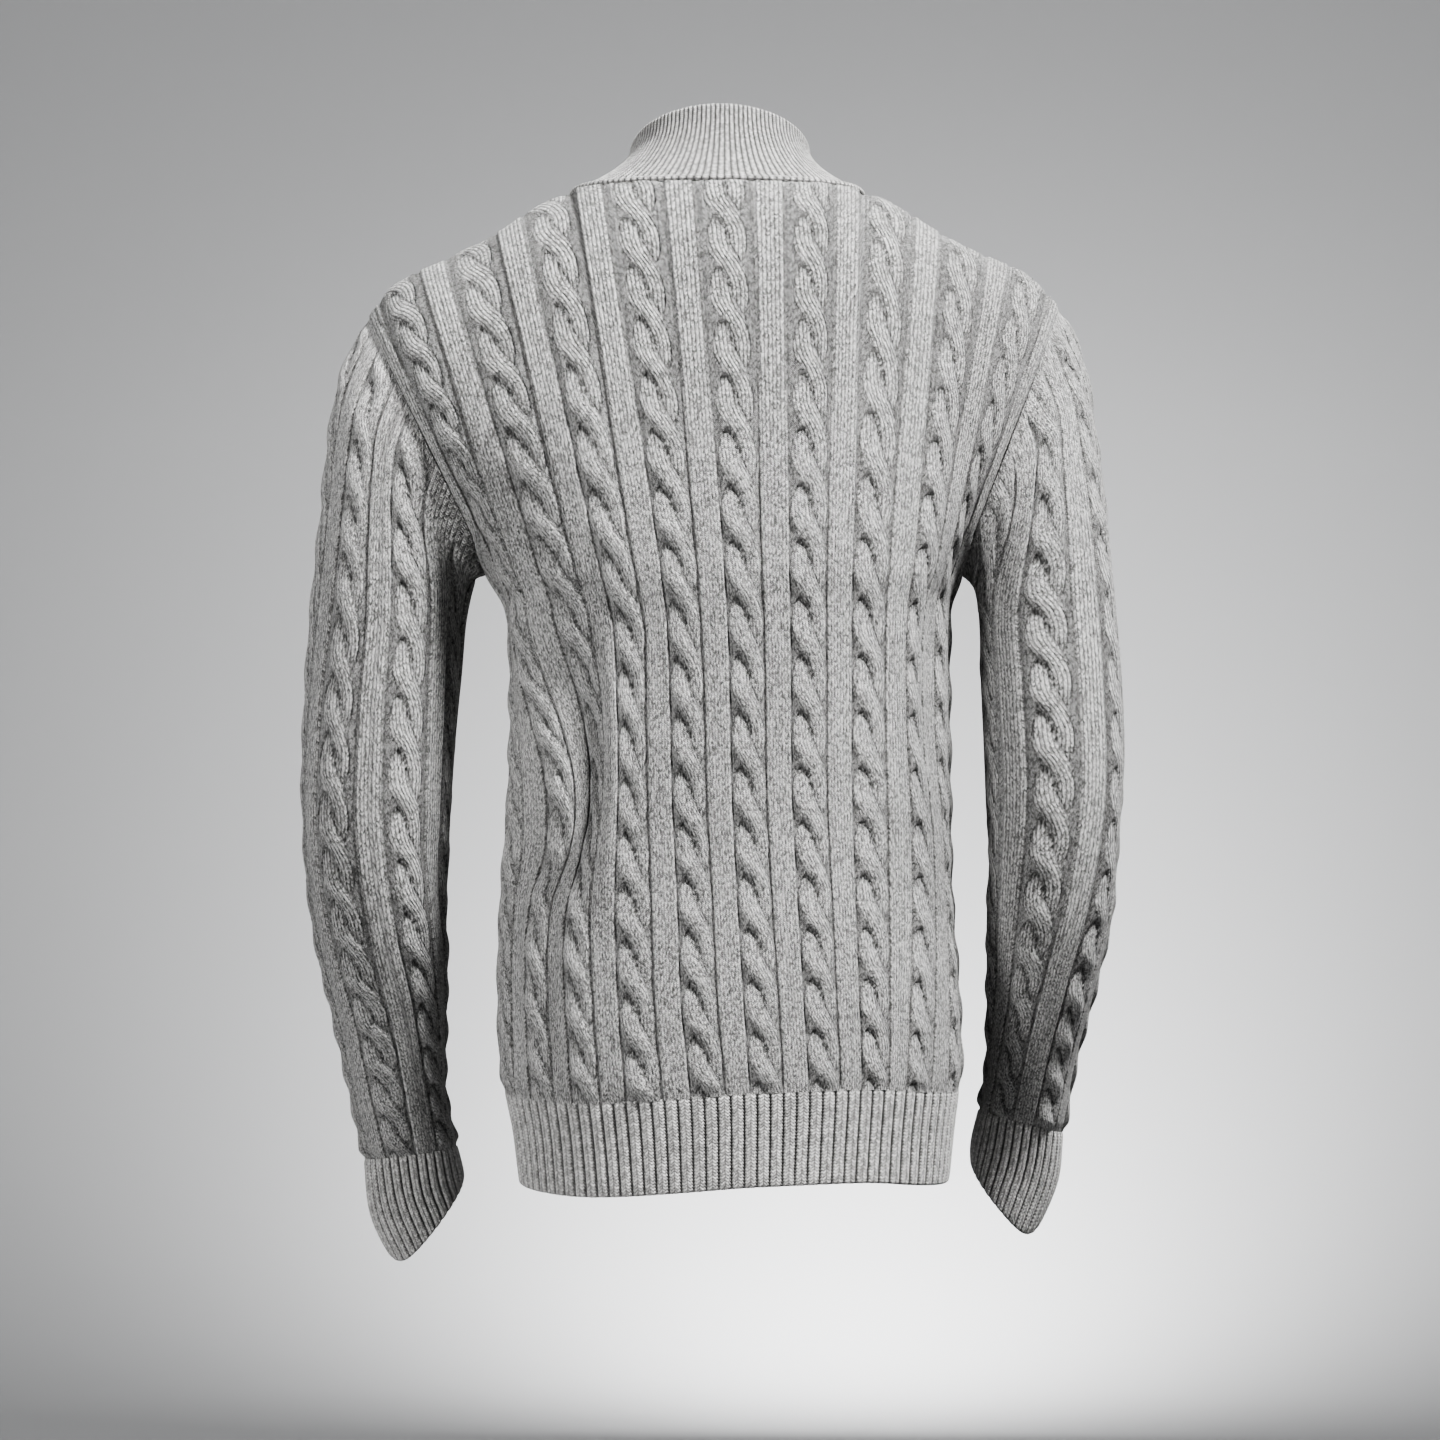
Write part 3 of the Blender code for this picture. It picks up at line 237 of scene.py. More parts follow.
def melange_group():
    """Colour of the mixed fibres, pale wool with fine dark flecks, and the height of the fibres' nap."""
    group, given, result = new_group(
        "melange_fibres",
        [("Tone", "NodeSocketFloat", 0.5), ("Pale", "NodeSocketColor", (0.6, 0.6, 0.6, 1)),
         ("Dark", "NodeSocketColor", (0.2, 0.2, 0.2, 1)), ("Amount", "NodeSocketFloat", 0.5)],
        [("Color", "NodeSocketColor"), ("Fleck", "NodeSocketFloat")])
    do = maths(group)
    where = group.nodes.new("ShaderNodeTexCoord")
    fine, broad = group.nodes.new("ShaderNodeTexNoise"), group.nodes.new("ShaderNodeTexNoise")
    fine.inputs["Scale"].default_value = FIBRE_SCALE
    fine.inputs["Detail"].default_value = FIBRE_DETAIL
    fine.inputs["Roughness"].default_value = FIBRE_ROUGHNESS
    broad.inputs["Scale"].default_value = MOTTLE_SCALE
    by_stitch = do("MULTIPLY", given.outputs["Tone"], STITCH_SHARE)
    mottle = do("MULTIPLY", broad.outputs[0], MOTTLE_SHARE)
    total = do("ADD", do("MULTIPLY", fine.outputs[0], FIBRE_SHARE), do("ADD", by_stitch, mottle))
    ramp = group.nodes.new("ShaderNodeValToRGB")
    for stop, place, value in zip(ramp.color_ramp.elements, (FLECK_FROM, FLECK_TO), (1, 0)):
        stop.position, stop.color = place, (value, value, value, 1)
    fleck = do("MULTIPLY", ramp.outputs[0], given.outputs["Amount"])
    mix = mix_node(group, "RGBA")
    link(group, [(where.outputs["Object"], fine.inputs["Vector"]),
                 (where.outputs["Object"], broad.inputs["Vector"]), (total, ramp.inputs[0]),
                 (fleck, mix.inputs[0]), (given.outputs["Pale"], mix.inputs[6]),
                 (given.outputs["Dark"], mix.inputs[7]), (mix.outputs[2], result.inputs["Color"]),
                 (fine.outputs[0], result.inputs["Fleck"])])
    return group


knit_stitches = stitch_group()
melange_fibres = melange_group()


def wool_material(name, pale, dark, amount, stitch_height, crease=None):
    """Melange wool knit with the stitches and the fibres' nap in its surface, and painted shade in its
    colour.

    crease gives the mask of a fine line where the cloth is tucked under, from the UV map "cable";
    the line is sunk into the bump and also darkens the colour as painted shade.
    """
    material = bpy.data.materials.new(name)
    material.use_nodes = True
    tree = material.node_tree
    do = maths(tree)
    shader = tree.nodes["Principled BSDF"]
    stitches = tree.nodes.new("ShaderNodeUVMap")
    stitches.uv_map = "stitches"
    purl, painted_shade, stretch = (tree.nodes.new("ShaderNodeAttribute") for _ in range(3))
    purl.attribute_name, painted_shade.attribute_name, stretch.attribute_name = "purl", "painted_shade", "stretch"
    knit, fibres = tree.nodes.new("ShaderNodeGroup"), tree.nodes.new("ShaderNodeGroup")
    knit.node_tree, fibres.node_tree = knit_stitches, melange_fibres
    fibres.inputs["Pale"].default_value = pale
    fibres.inputs["Dark"].default_value = dark
    fibres.inputs["Amount"].default_value = amount
    # Painted shade: GAP_SHADE darkens the gaps between stitches, and FURROW_SHADE darkens the wool where the
    # shade mask on the points and the tuck lines lie.
    shade, furrow = mix_node(tree, "RGBA", "MULTIPLY"), mix_node(tree, "RGBA", "MULTIPLY")
    shade.inputs[7].default_value = GAP_SHADE
    furrow.inputs[7].default_value = FURROW_SHADE
    height = do("ADD", knit.outputs["Height"], do("MULTIPLY", fibres.outputs["Fleck"], NAP_HEIGHT))
    painted_shade_mask = painted_shade.outputs["Fac"]
    if crease:
        cable, tuck = tree.nodes.new("ShaderNodeUVMap"), tree.nodes.new("ShaderNodeGroup")
        cable.uv_map, tuck.node_tree = "cable", crease
        link(tree, [(cable.outputs[0], tuck.inputs["Cable"]),
                    (stretch.outputs["Fac"], tuck.inputs["Stretch"])])
        painted_shade_mask = do("MAXIMUM", painted_shade_mask, tuck.outputs["Tuck"])
        height = do("SUBTRACT", height, do("MULTIPLY", tuck.outputs["Tuck"], TUCK_HEIGHT))
    bump = tree.nodes.new("ShaderNodeBump")
    bump.inputs["Strength"].default_value = 1.0
    bump.inputs["Distance"].default_value = stitch_height
    link(tree, [(stitches.outputs[0], knit.inputs["Stitches"]), (purl.outputs["Fac"], knit.inputs["Purl"]),
                (stretch.outputs["Fac"], knit.inputs["Stretch"]),
                (knit.outputs["Tone"], fibres.inputs["Tone"]), (fibres.outputs["Color"], shade.inputs[6]),
                (knit.outputs["Gap"], shade.inputs[0]), (shade.outputs[2], furrow.inputs[6]),
                (painted_shade_mask, furrow.inputs[0]), (furrow.outputs[2], shader.inputs["Base Color"]),
                (height, bump.inputs["Height"]), (bump.outputs[0], shader.inputs["Normal"])])
    for socket, value in WOOL_FINISH.items():
        shader.inputs[socket].default_value = value
    return material


# ------------------------------------------------------------
# Back and front
# Two knitted panels. Eleven cables run up each with a plain band between them, and every cable is
# two strands that cross once a twist. The cloth hangs from the shoulders over the wearer's back,
# folds under the arms and gathers low on its left.
# ------------------------------------------------------------
SIDE_WALE, ARM_WALE, ARM_FLARE, NECK_WALE = 5.5, 4.55, 1.33, 1.705
TOP_TWIST, RIB_TWIST = 7.4, -9.72
UNDERARM_Z, TWIST_PITCH, PITCH_GROWTH = -0.266, 0.0388, 0.0003
GIRTH_SQUARENESS = 2.3
GIRTH = {
    "height": (-0.700, -0.680, -0.650, -0.614, -0.555, -0.487, -0.421, -0.352, -0.300, -0.283, -0.266),
    "left":   (0.1425, 0.1440, 0.1475, 0.1545, 0.1575, 0.1555, 0.1510, 0.1485, 0.1500, 0.1535, 0.1650),
    "right":  (0.1500, 0.1520, 0.1550, 0.1590, 0.1580, 0.1535, 0.1520, 0.1510, 0.1515, 0.1530, 0.1590),
    "back":   (0.1050, 0.1060, 0.1080, 0.1110, 0.1120, 0.1100, 0.1100, 0.1120, 0.1150, 0.1165, 0.1180),
    "front":  (0.1040, 0.1050, 0.1080, 0.1120, 0.1140, 0.1150, 0.1180, 0.1220, 0.1240, 0.1245, 0.1250),
}
PANEL_WALES = (-5.5, -4, -3, -2, -1, 0, 1, 2, 3, 4, 5.5)
BACK_HEIGHTS = (-0.690, -0.614, -0.555, -0.487, -0.454, -0.421, -0.393, -0.352, -0.300, -0.266)
BACK_TURNS = (
    (-86, -60.0, -45.0, -27.0, -6.2, 13.4, 32.0, 47.0, 60.5, 77.0, 95),
    (-86, -60.0, -45.9, -28.0, -6.8, 13.0, 31.8, 46.7, 60.0, 77.0, 95),
    (-87, -61.7, -47.5, -30.0, -9.7, 11.3, 30.2, 46.3, 61.7, 78.5, 96),
    (-88, -60.0, -48.6, -31.4, -11.3, 9.2, 29.1, 46.5, 64.5, 80.0, 96),
    (-89, -53.8, -46.4, -31.6, -12.3, 8.3, 28.3, 46.2, 64.5, 79.0, 95),
    (-91, -52.3, -44.1, -31.8, -13.2, 7.5, 27.4, 45.9, 63.5, 77.5, 94),
    (-92, -54.5, -43.6, -31.8, -13.5, 7.1, 27.1, 45.5, 62.5, 77.0, 93),
    (-93, -61.5, -44.8, -31.8, -13.8, 6.7, 26.8, 45.1, 61.4, 77.0, 93),
    (-92, -71.5, -48.8, -31.8, -14.7, 5.9, 26.0, 44.3, 61.0, 76.0, 92),
    (-90, -71.0, -50.6, -34.0, -15.6, 4.8, 25.2, 43.4, 61.3, 74.0, 91),
)
FRONT_SHARES = (-1, -0.760, -0.592, -0.411, -0.213, 0, 0.213, 0.411, 0.592, 0.760, 1)
TOP_WALES = (-5.5, -4.55, -4, -3, -1.705, -1.6, -1, 0, 1, 1.6, 1.705, 3, 4, 4.55, 5.5)
TOP_X = (-0.2850, -0.2490, -0.2285, -0.1766, -0.1075, -0.1015, -0.0647, -0.0035, 0.0564, 0.0865,
         0.0925, 0.1620, 0.2075, 0.2290, 0.2620)
TOP_Z = (-0.1500, -0.0890, -0.0665, -0.0415, -0.0047, -0.0040, 0, 0, 0, -0.0040, -0.0047, -0.0400,
         -0.0610, -0.0820, -0.1350)
SHOULDER_Y, SHOULDER_BEND, SHOULDER_STEPS, LARGEST_SHARE = 0.006, 2.5, 48, 0.999
ARM_ROOM = {"back": 0.028, "front": 0.030, "from_wale": 2.9, "bluntness": 0.8}
NECK = {"x": -0.0075, "y": 0.006, "half_width": 0.1000, "back": 0.0810, "front": 0.0790,
        "front_drop": 0.0700, "drop_sharpness": 4, "drop_ease": 1.07}
LINE_WALES = (-5.5, -3.5, 0, 2, 4, 5.5)
LINE_DIP = (-0.006, -0.009, 0, 0.001, -0.005, -0.004)
LINE_DIPS_FROM = -6
FOLD_COLUMNS = ("wale", "twist", "width", "length", "lean", "rise")
FOLDS = {
    "back": (
        (-3.10, -3.9, 0.45, 2.3, 0.00, -0.0070),
        (-2.45, -3.7, 0.30, 2.6, 0.00, 0.0045),
        (-4.05, -2.9, 0.60, 2.4, 0.00, 0.0045),
        (-3.55, -7.8, 0.35, 2.0, 0.00, -0.0035),
        (-4.50, -7.3, 0.32, 2.2, 0.00, -0.0040),
        (3.45, -2.0, 0.40, 1.9, 0.00, -0.0050),
        (2.50, -2.4, 0.40, 2.4, 0.00, 0.0020),
        (4.50, -5.5, 0.35, 2.2, 0.00, -0.0030),
        (-4.20, 1.0, 0.45, 1.5, 0.00, -0.0035),
        (4.15, 1.0, 0.45, 1.5, 0.00, -0.0035),
    ),
    "front": (
        (-3.60, -4.2, 0.45, 2.4, 0.00, -0.0050),
        (-4.40, -3.6, 0.45, 2.6, 0.00, 0.0030),
        (3.30, -4.8, 0.45, 2.2, 0.00, -0.0055),
        (4.20, -4.2, 0.50, 2.4, 0.00, 0.0030),
        (-4.10, 1.2, 0.45, 1.5, 0.00, -0.0030),
        (4.05, 1.2, 0.45, 1.5, 0.00, -0.0030),
    ),
}
# Cable and band: sideways in repeats from the cable's middle, upwards in twists, heights in metres.
# "level" is a share of CROSS_RISE, and a name with STRETCH in it is the change in stretched cloth.
GUTTER, GUTTER_STRETCH, OUTER = 0.294, 0.041, 0.284
STRAND = {
    "down":  (-1.0, -0.83, -0.65, -0.48, -0.35, -0.22, -0.10, 0.05, 0.25, 0.50, 0.70, 0.85, 1.0),
    "left":  (-0.175, -0.238, -0.272, -0.284, -0.276, -0.238, -0.175, -0.085, 0.005, 0.045, 0.040,
              0.060, 0.120),
    "right": (-0.100, -0.035, 0.010, 0.045, 0.078, 0.125, 0.178, 0.222, 0.262, 0.282, 0.270, 0.240,
              0.180),
    "level": (-0.90, -0.35, 0.05, 0.40, 0.80, 1.10, 1.15, 0.95, 0.50, 0.15, -0.15, -0.55, -1.20),
}
STRAND_STRETCH, RISE_STRETCH, CROSS_STRETCH, LADDER_STRETCH = 0.16, 0.15, 0.35, 0.2
STRAND_ROUNDNESS, USUAL_HALF_STRAND = 2.5, 0.2
STRAND_RISE, CROSS_RISE = 0.0029, 0.0014
BAND_RISE, BAND_ROLL, LADDER_DEPTH, NOTCH_RISE = 0.0010, 0.035, 0.0008, 0.0016
BAND_LIP = {"rise": 0.0004, "inside": 0.03, "width": 0.02}
LADDER_FILL = {"from": 0.015, "over": 0.08, "drawn_up": 0.62}
CROSS_LEVEL = -0.36
MIDDLE_CROSSINGS = {-2: 0.28, -1: 0.13, 0: 0.08, 1: 0.08, 2: 0.08}
CROSSING_WAVES = ((0.13, 2.3, 0.7), (0.05, 5.1, 0.0))
CABLE_NUMBERS_FROM = {"back": 0, "front": 20, "left": 40, "right": 60}
BAND, LADDER, SEAM_BAND = 0, 3, 4
# Painted shade: how much the colour is darkened at the rims, furrows and ladders, from 0 to 1, and where each
# shade lies.
SHADE = {"ladder": 0.10, "ladder_stretched": 0.32, "rim": 0.56, "rim_stretched": 0.15, "rim_from": 0.80,
         "line": 0.24, "line_inside": 0.004, "line_width": 0.009, "line_height": 0.0016,
         "shut_in": 0.65, "shut_in_ladder": 0.10, "shut_in_depth": 0.0012, "shut_in_reach": 3}
STRETCH_FROM, STRETCH_OVER = 0.5, 4.5
ARM_BAND = {"width": 0.25, "columns": (-0.03, -0.01, 0.01, 0.035, 0.06), "from": -0.8, "over": 1.2,
            "narrower": 0.3, "narrower_from": 3, "narrower_over": 4, "lip": 0.0004,
            "line": 0.9, "line_outside": 0.006, "line_width": 0.014}
EDGE = {"side": 0.07, "top": 0.10, "top_shade": 0.25, "rib": 0.25, "rib_relief": 0.35, "sink": 0.0010}
FOLD_ENDS = {"side": 0.4, "twists": 1.0}
# Tuck lines, sunk into the bump and darkened as painted shade; "depth" sets how strong each one is.
TUCKS = (
    {"across": -0.132, "slope": 0.425, "width": 0.020, "from": -0.08, "to": 0.62, "shorter": 0.42,
     "depth": 0.78},
    {"across": 0.214, "slope": 0.360, "width": 0.016, "from": -0.52, "to": 0.26, "shorter": 0.00,
     "depth": 0.62},
)
TUCK_STARTS, TUCK_FADES = 8.0, 2.4
STITCHES, ROWS = 20, 24
ROWS_DRAWN = 18
HALF_COLUMNS = (0.042, 0.084, 0.126, 0.168, 0.205, 0.238, 0.260, 0.274, OUTER, 0.289, GUTTER + 0.002,
                0.313, 0.35, 0.42)
KEPT_BEYOND = 0.03
COLUMNS = (-0.5,) + tuple(-c for c in HALF_COLUMNS[::-1]) + (0.0,) + HALF_COLUMNS


def smooth(where, knots, values):
    """Smooth curve through (knots, values) at each place; values may have a row for each place."""
    where = np.asarray(where, float)
    knots = np.asarray(knots, float)
    values = np.asarray(values, float)
    slopes = np.gradient(values, knots, axis=-1)
    place = np.clip(where, knots[0], knots[-1])
    i = np.clip(np.searchsorted(knots, place, side="right") - 1, 0, len(knots) - 2)
    span = knots[i + 1] - knots[i]
    f = (place - knots[i]) / span
    if values.ndim == 1:
        v0, v1, s0, s1 = values[i], values[i + 1], slopes[i], slopes[i + 1]
    else:
        row = np.arange(len(place))
        v0, v1, s0, s1 = values[row, i], values[row, i + 1], slopes[row, i], slopes[row, i + 1]
    rise = f * f * (3 - 2 * f)
    return v0 + (v1 - v0) * rise + span * (s0 * f * (1 - f) ** 2 - s1 * f * f * (1 - f))


def ease(f):
    f = np.clip(f, 0, 1)
    return f * f * (3 - 2 * f)


def unit(vectors):
    return vectors / np.maximum(np.linalg.norm(vectors, axis=-1, keepdims=True), 1e-12)


def rounded(turn, half_width, half_depth, squareness):
    across = (np.abs(np.sin(turn)) / half_width) ** squareness
    along = (np.abs(np.cos(turn)) / half_depth) ** squareness
    return (across + along) ** (-1 / squareness)


def body_height(twist):
    return UNDERARM_Z + TWIST_PITCH * twist + PITCH_GROWTH * twist ** 2


def body_ring(side, wale, height):
    girth = {name: smooth(height, GIRTH["height"], GIRTH[name]) for name in GIRTH if name != "height"}
    level = np.array([smooth(height, BACK_HEIGHTS, column) for column in zip(*BACK_TURNS)]).T
    if side == "back":
        turn = np.radians(smooth(wale, PANEL_WALES, level))
    else:
        seam = np.where(wale < 0, 180 + level[:, 0], 180 - level[:, -1])
        turn = np.radians(seam * smooth(wale, PANEL_WALES, FRONT_SHARES))
    facing = -1 if side == "back" else 1
    half_width = np.where(turn < 0, girth["left"], girth["right"])
    towards = girth["back" if side == "back" else "front"]
    beyond = girth["front" if side == "back" else "back"]
    half_depth = np.where(np.cos(turn) >= 0, towards, beyond)
    reach = rounded(turn, half_width, half_depth, GIRTH_SQUARENESS)
    return np.stack([reach * np.sin(turn), facing * reach * np.cos(turn), height], axis=-1)


def neck_ring(turn):
    depth = np.where(np.cos(turn) > 0, NECK["back"], NECK["front"])
    drop = NECK["front_drop"] * ((1 - np.cos(turn)) / 2) ** NECK["drop_sharpness"]
    return np.stack([NECK["x"] + NECK["half_width"] * np.sin(turn), NECK["y"] - depth * np.cos(turn),
                     -drop * NECK["drop_ease"]], axis=-1)


def top_edge(side, wale):
    x = smooth(wale, TOP_WALES, TOP_X)
    shoulder = np.stack([x, np.full_like(x, SHOULDER_Y), smooth(wale, TOP_WALES, TOP_Z)], axis=-1)
    turn = np.arcsin(np.clip((x - NECK["x"]) / NECK["half_width"], -1, 1))
    neck = neck_ring(turn if side == "back" else np.pi - turn)
    return np.where((np.abs(wale) <= NECK_WALE + 1e-6)[:, None], neck, shoulder)


def shoulder_path(side, wale, twist):
    start = body_ring(side, wale, np.full_like(wale, UNDERARM_Z))
    end = top_edge(side, wale)
    share = np.clip((end[:, 1] - SHOULDER_Y) / (start[:, 1] - SHOULDER_Y), 0, LARGEST_SHARE)
    bend = SHOULDER_BEND
    top_share = (1 - share ** bend) ** (1 / bend)
    last = np.arctan2(top_share ** (bend / 2), share ** (bend / 2))
    steps = np.linspace(0, 1, SHOULDER_STEPS + 1)
    angle = last[:, None] * steps
    rise = np.abs(np.sin(angle)) ** (2 / bend)
    depth = np.abs(np.cos(angle)) ** (2 / bend)
    y = SHOULDER_Y + (start[:, 1, None] - SHOULDER_Y) * depth
    z = start[:, 2, None] + ((end[:, 2] - start[:, 2]) / top_share)[:, None] * rise
    way = rise / top_share[:, None]
    x = start[:, 0, None] + (end[:, 0] - start[:, 0])[:, None] * way
    near_arm = ease((np.abs(wale) - ARM_ROOM["from_wale"]) / (ARM_WALE - ARM_ROOM["from_wale"]))
    room = ARM_ROOM[side] * near_arm * (-1 if side == "back" else 1)
    y = y + room[:, None] * np.sin(np.pi * np.clip(way, 0, 1)) ** ARM_ROOM["bluntness"]
    length = np.cumsum(np.sqrt(np.diff(x) ** 2 + np.diff(y) ** 2 + np.diff(z) ** 2), axis=1)
    length = np.concatenate([np.zeros((len(x), 1)), length], axis=1)
    goal = length[:, -1] * twist / TOP_TWIST
    i = np.clip((length <= goal[:, None]).sum(axis=1) - 1, 0, len(steps) - 2)
    row = np.arange(len(x))
    f = np.clip((goal - length[row, i]) / (length[row, i + 1] - length[row, i]), 0, 1)
    return np.stack([v[row, i] + f * (v[row, i + 1] - v[row, i]) for v in (x, y, z)], axis=-1)


def body_plain(side, wale, twist):
    """Plain cloth of a panel at each (wale, twist)."""
    points = np.empty((len(wale), 3))
    low = twist <= 0
    line = smooth(wale[low], LINE_WALES, LINE_DIP) * ease(
        (LINE_DIPS_FROM - twist[low]) / (LINE_DIPS_FROM - RIB_TWIST))
    points[low] = body_ring(side, wale[low], body_height(twist[low]) + line)
    points[~low] = shoulder_path(side, wale[~low], np.clip(twist[~low], 0, TOP_TWIST))
    return points


def arm_edge(twist):
    flare = np.clip(1 - np.asarray(twist, float) / ARM_FLARE, 0, None) ** 2
    return np.where(np.asarray(twist) <= 0, SIDE_WALE, ARM_WALE + (SIDE_WALE - ARM_WALE) * flare)


def folds_at(folds, wale, twist, around=None):
    """How far the folds of a table lift the cloth; around is the number of wales round a tube."""
    rise = np.zeros(np.shape(wale + twist))
    for row in folds:
        fold = dict(zip(FOLD_COLUMNS, row))
        away = wale - fold["wale"] - fold["lean"] * (twist - fold["twist"])
        if around:
            away = (away + around / 2) % around - around / 2
        along = (twist - fold["twist"]) / fold["length"]
        rise = rise + fold["rise"] * np.exp(-(away / fold["width"]) ** 2 - along ** 4)
    return rise


def fold_rise(side, wale, twist):
    rise = folds_at(FOLDS[side], wale, twist)
    edge = ease((arm_edge(twist) - np.abs(wale)) / FOLD_ENDS["side"])
    edge = edge * ease((TOP_TWIST - twist) / FOLD_ENDS["twists"])
    return rise * edge * ease((twist - RIB_TWIST) / FOLD_ENDS["twists"])


def grid_normals(points, flip):
    """Outward directions on a grid of points whose columns run to +X side and rows upwards."""
    across = np.gradient(points, axis=1)
    up = np.gradient(points, axis=0)
    outward = unit(np.cross(across, up))
    return -outward if flip else outward


def drawn_at(across, stretch):
    """Where a column of the mesh lies, from where it is drawn: it keeps to the edges of the ladder."""
    away = np.abs(across)
    outer = OUTER * (1 - STRAND_STRETCH * stretch)
    gutter = GUTTER + GUTTER_STRETCH * stretch
    inside = away / OUTER * outer
    ladder = outer + (away - OUTER) / (GUTTER - OUTER) * (gutter - outer)
    band = 0.5 - (0.5 - away) / (0.5 - GUTTER) * (0.5 - gutter)
    return np.sign(across) * np.where(away < OUTER, inside, np.where(away < GUTTER, ladder, band))


def shut_in(relief):
    """How far each place of a grid lies below the relief about it, in metres."""
    about = relief
    reach = SHADE["shut_in_reach"]
    for axis in (0, 1):
        shifted = [np.roll(about, step, axis=axis) for step in range(-reach, reach + 1)]
        about = np.mean(shifted, axis=0)
    return about - relief


def cable_knit(across, twist, stretch):
    """Relief of a cable and its band, at places from the cable's centre in repeats.

    Each strand comes out from under the last at the cable's left, swells, passes over to the right and
    sinks away. Stretched cloth has flatter, narrower strands and open ladders of purl stitches.
    Also gives the region (the band, strand 1 or 2, or the ladder), each strand's centre and the painted
    shade, from 0 on the crests to 1 at the darkest: darker where a place lies low among the relief, at the
    strands' rims, in the ladders and along the gutters.
    """
    narrowed = 1 - STRAND_STRETCH * stretch
    away = np.abs(across)
    gutter = GUTTER + GUTTER_STRETCH * stretch
    depth = LADDER_DEPTH * (1 - LADDER_STRETCH * stretch)
    edge = np.clip((away - gutter) / BAND_ROLL, 0, 1)
    lip = np.exp(-((away - gutter - BAND_LIP["inside"]) / BAND_LIP["width"]) ** 2)
    band = BAND_RISE * np.sqrt(1 - (1 - edge) ** 2) + BAND_LIP["rise"] * lip
    relief = np.where(away < gutter, -depth, band - depth * (1 - edge) ** 3)
    region = np.where(away < gutter, LADDER, BAND)
    # Painted shade: the ladders of purl stitches are darkened, more so in stretched cloth.
    edge_shade = np.where(away < gutter, SHADE["ladder"] + SHADE["ladder_stretched"] * stretch, 0)
    centres = []
    for number in (1, 2):
        down = (CROSS_LEVEL - twist - number) % 2 - 1
        left, right, level = (smooth(down.ravel(), STRAND["down"], STRAND[name]).reshape(down.shape)
                              for name in ("left", "right", "level"))
        centre, half = (left + right) / 2, (right - left) / 2
        offset = np.abs(across - centre * narrowed) / (half * narrowed)
        rise = STRAND_RISE * (1 - RISE_STRETCH * stretch) * np.sqrt(half / USUAL_HALF_STRAND)
        lift = rise * np.clip(1 - offset ** STRAND_ROUNDNESS, 0, None) ** 0.5 \
            + CROSS_RISE * (1 - CROSS_STRETCH * stretch) * level
        strand = np.where(offset < 1, lift - depth, -1)
        above = strand > relief
        relief = np.where(above, strand, relief)
        region = np.where(above, number, region)
        # Painted shade: each strand is darkened towards its rim.
        to_rim = np.clip((offset - SHADE["rim_from"]) / (1 - SHADE["rim_from"]), 0, 1)
        edge_shade = np.where(above, (SHADE["rim"] + SHADE["rim_stretched"] * stretch) * to_rim, edge_shade)
        centres.append(centre * narrowed)
    filled = NOTCH_RISE * ease((gutter - away - LADDER_FILL["from"]) / LADDER_FILL["over"]) \
        + LADDER_FILL["drawn_up"] * np.maximum(shut_in(relief), 0)
    relief = np.where(region == LADDER, relief + filled, relief)
    # Painted shade: a dark line just inside each gutter, where the cloth lies low.
    line = np.exp(-((away - gutter + SHADE["line_inside"]) / SHADE["line_width"]) ** 2)
    beside = np.clip(1 - (relief + depth) / SHADE["line_height"], 0, 1)
    # Painted shade: darker the further a place lies below the relief about it, less so in the ladders.
    floor = np.where(region == LADDER, SHADE["shut_in_ladder"], SHADE["shut_in"])
    painted_shade = np.clip(shut_in(relief) / SHADE["shut_in_depth"], 0, 1) * floor \
        + SHADE["line"] * line * beside + edge_shade
    return relief, region, centres, np.clip(painted_shade, 0, 1)


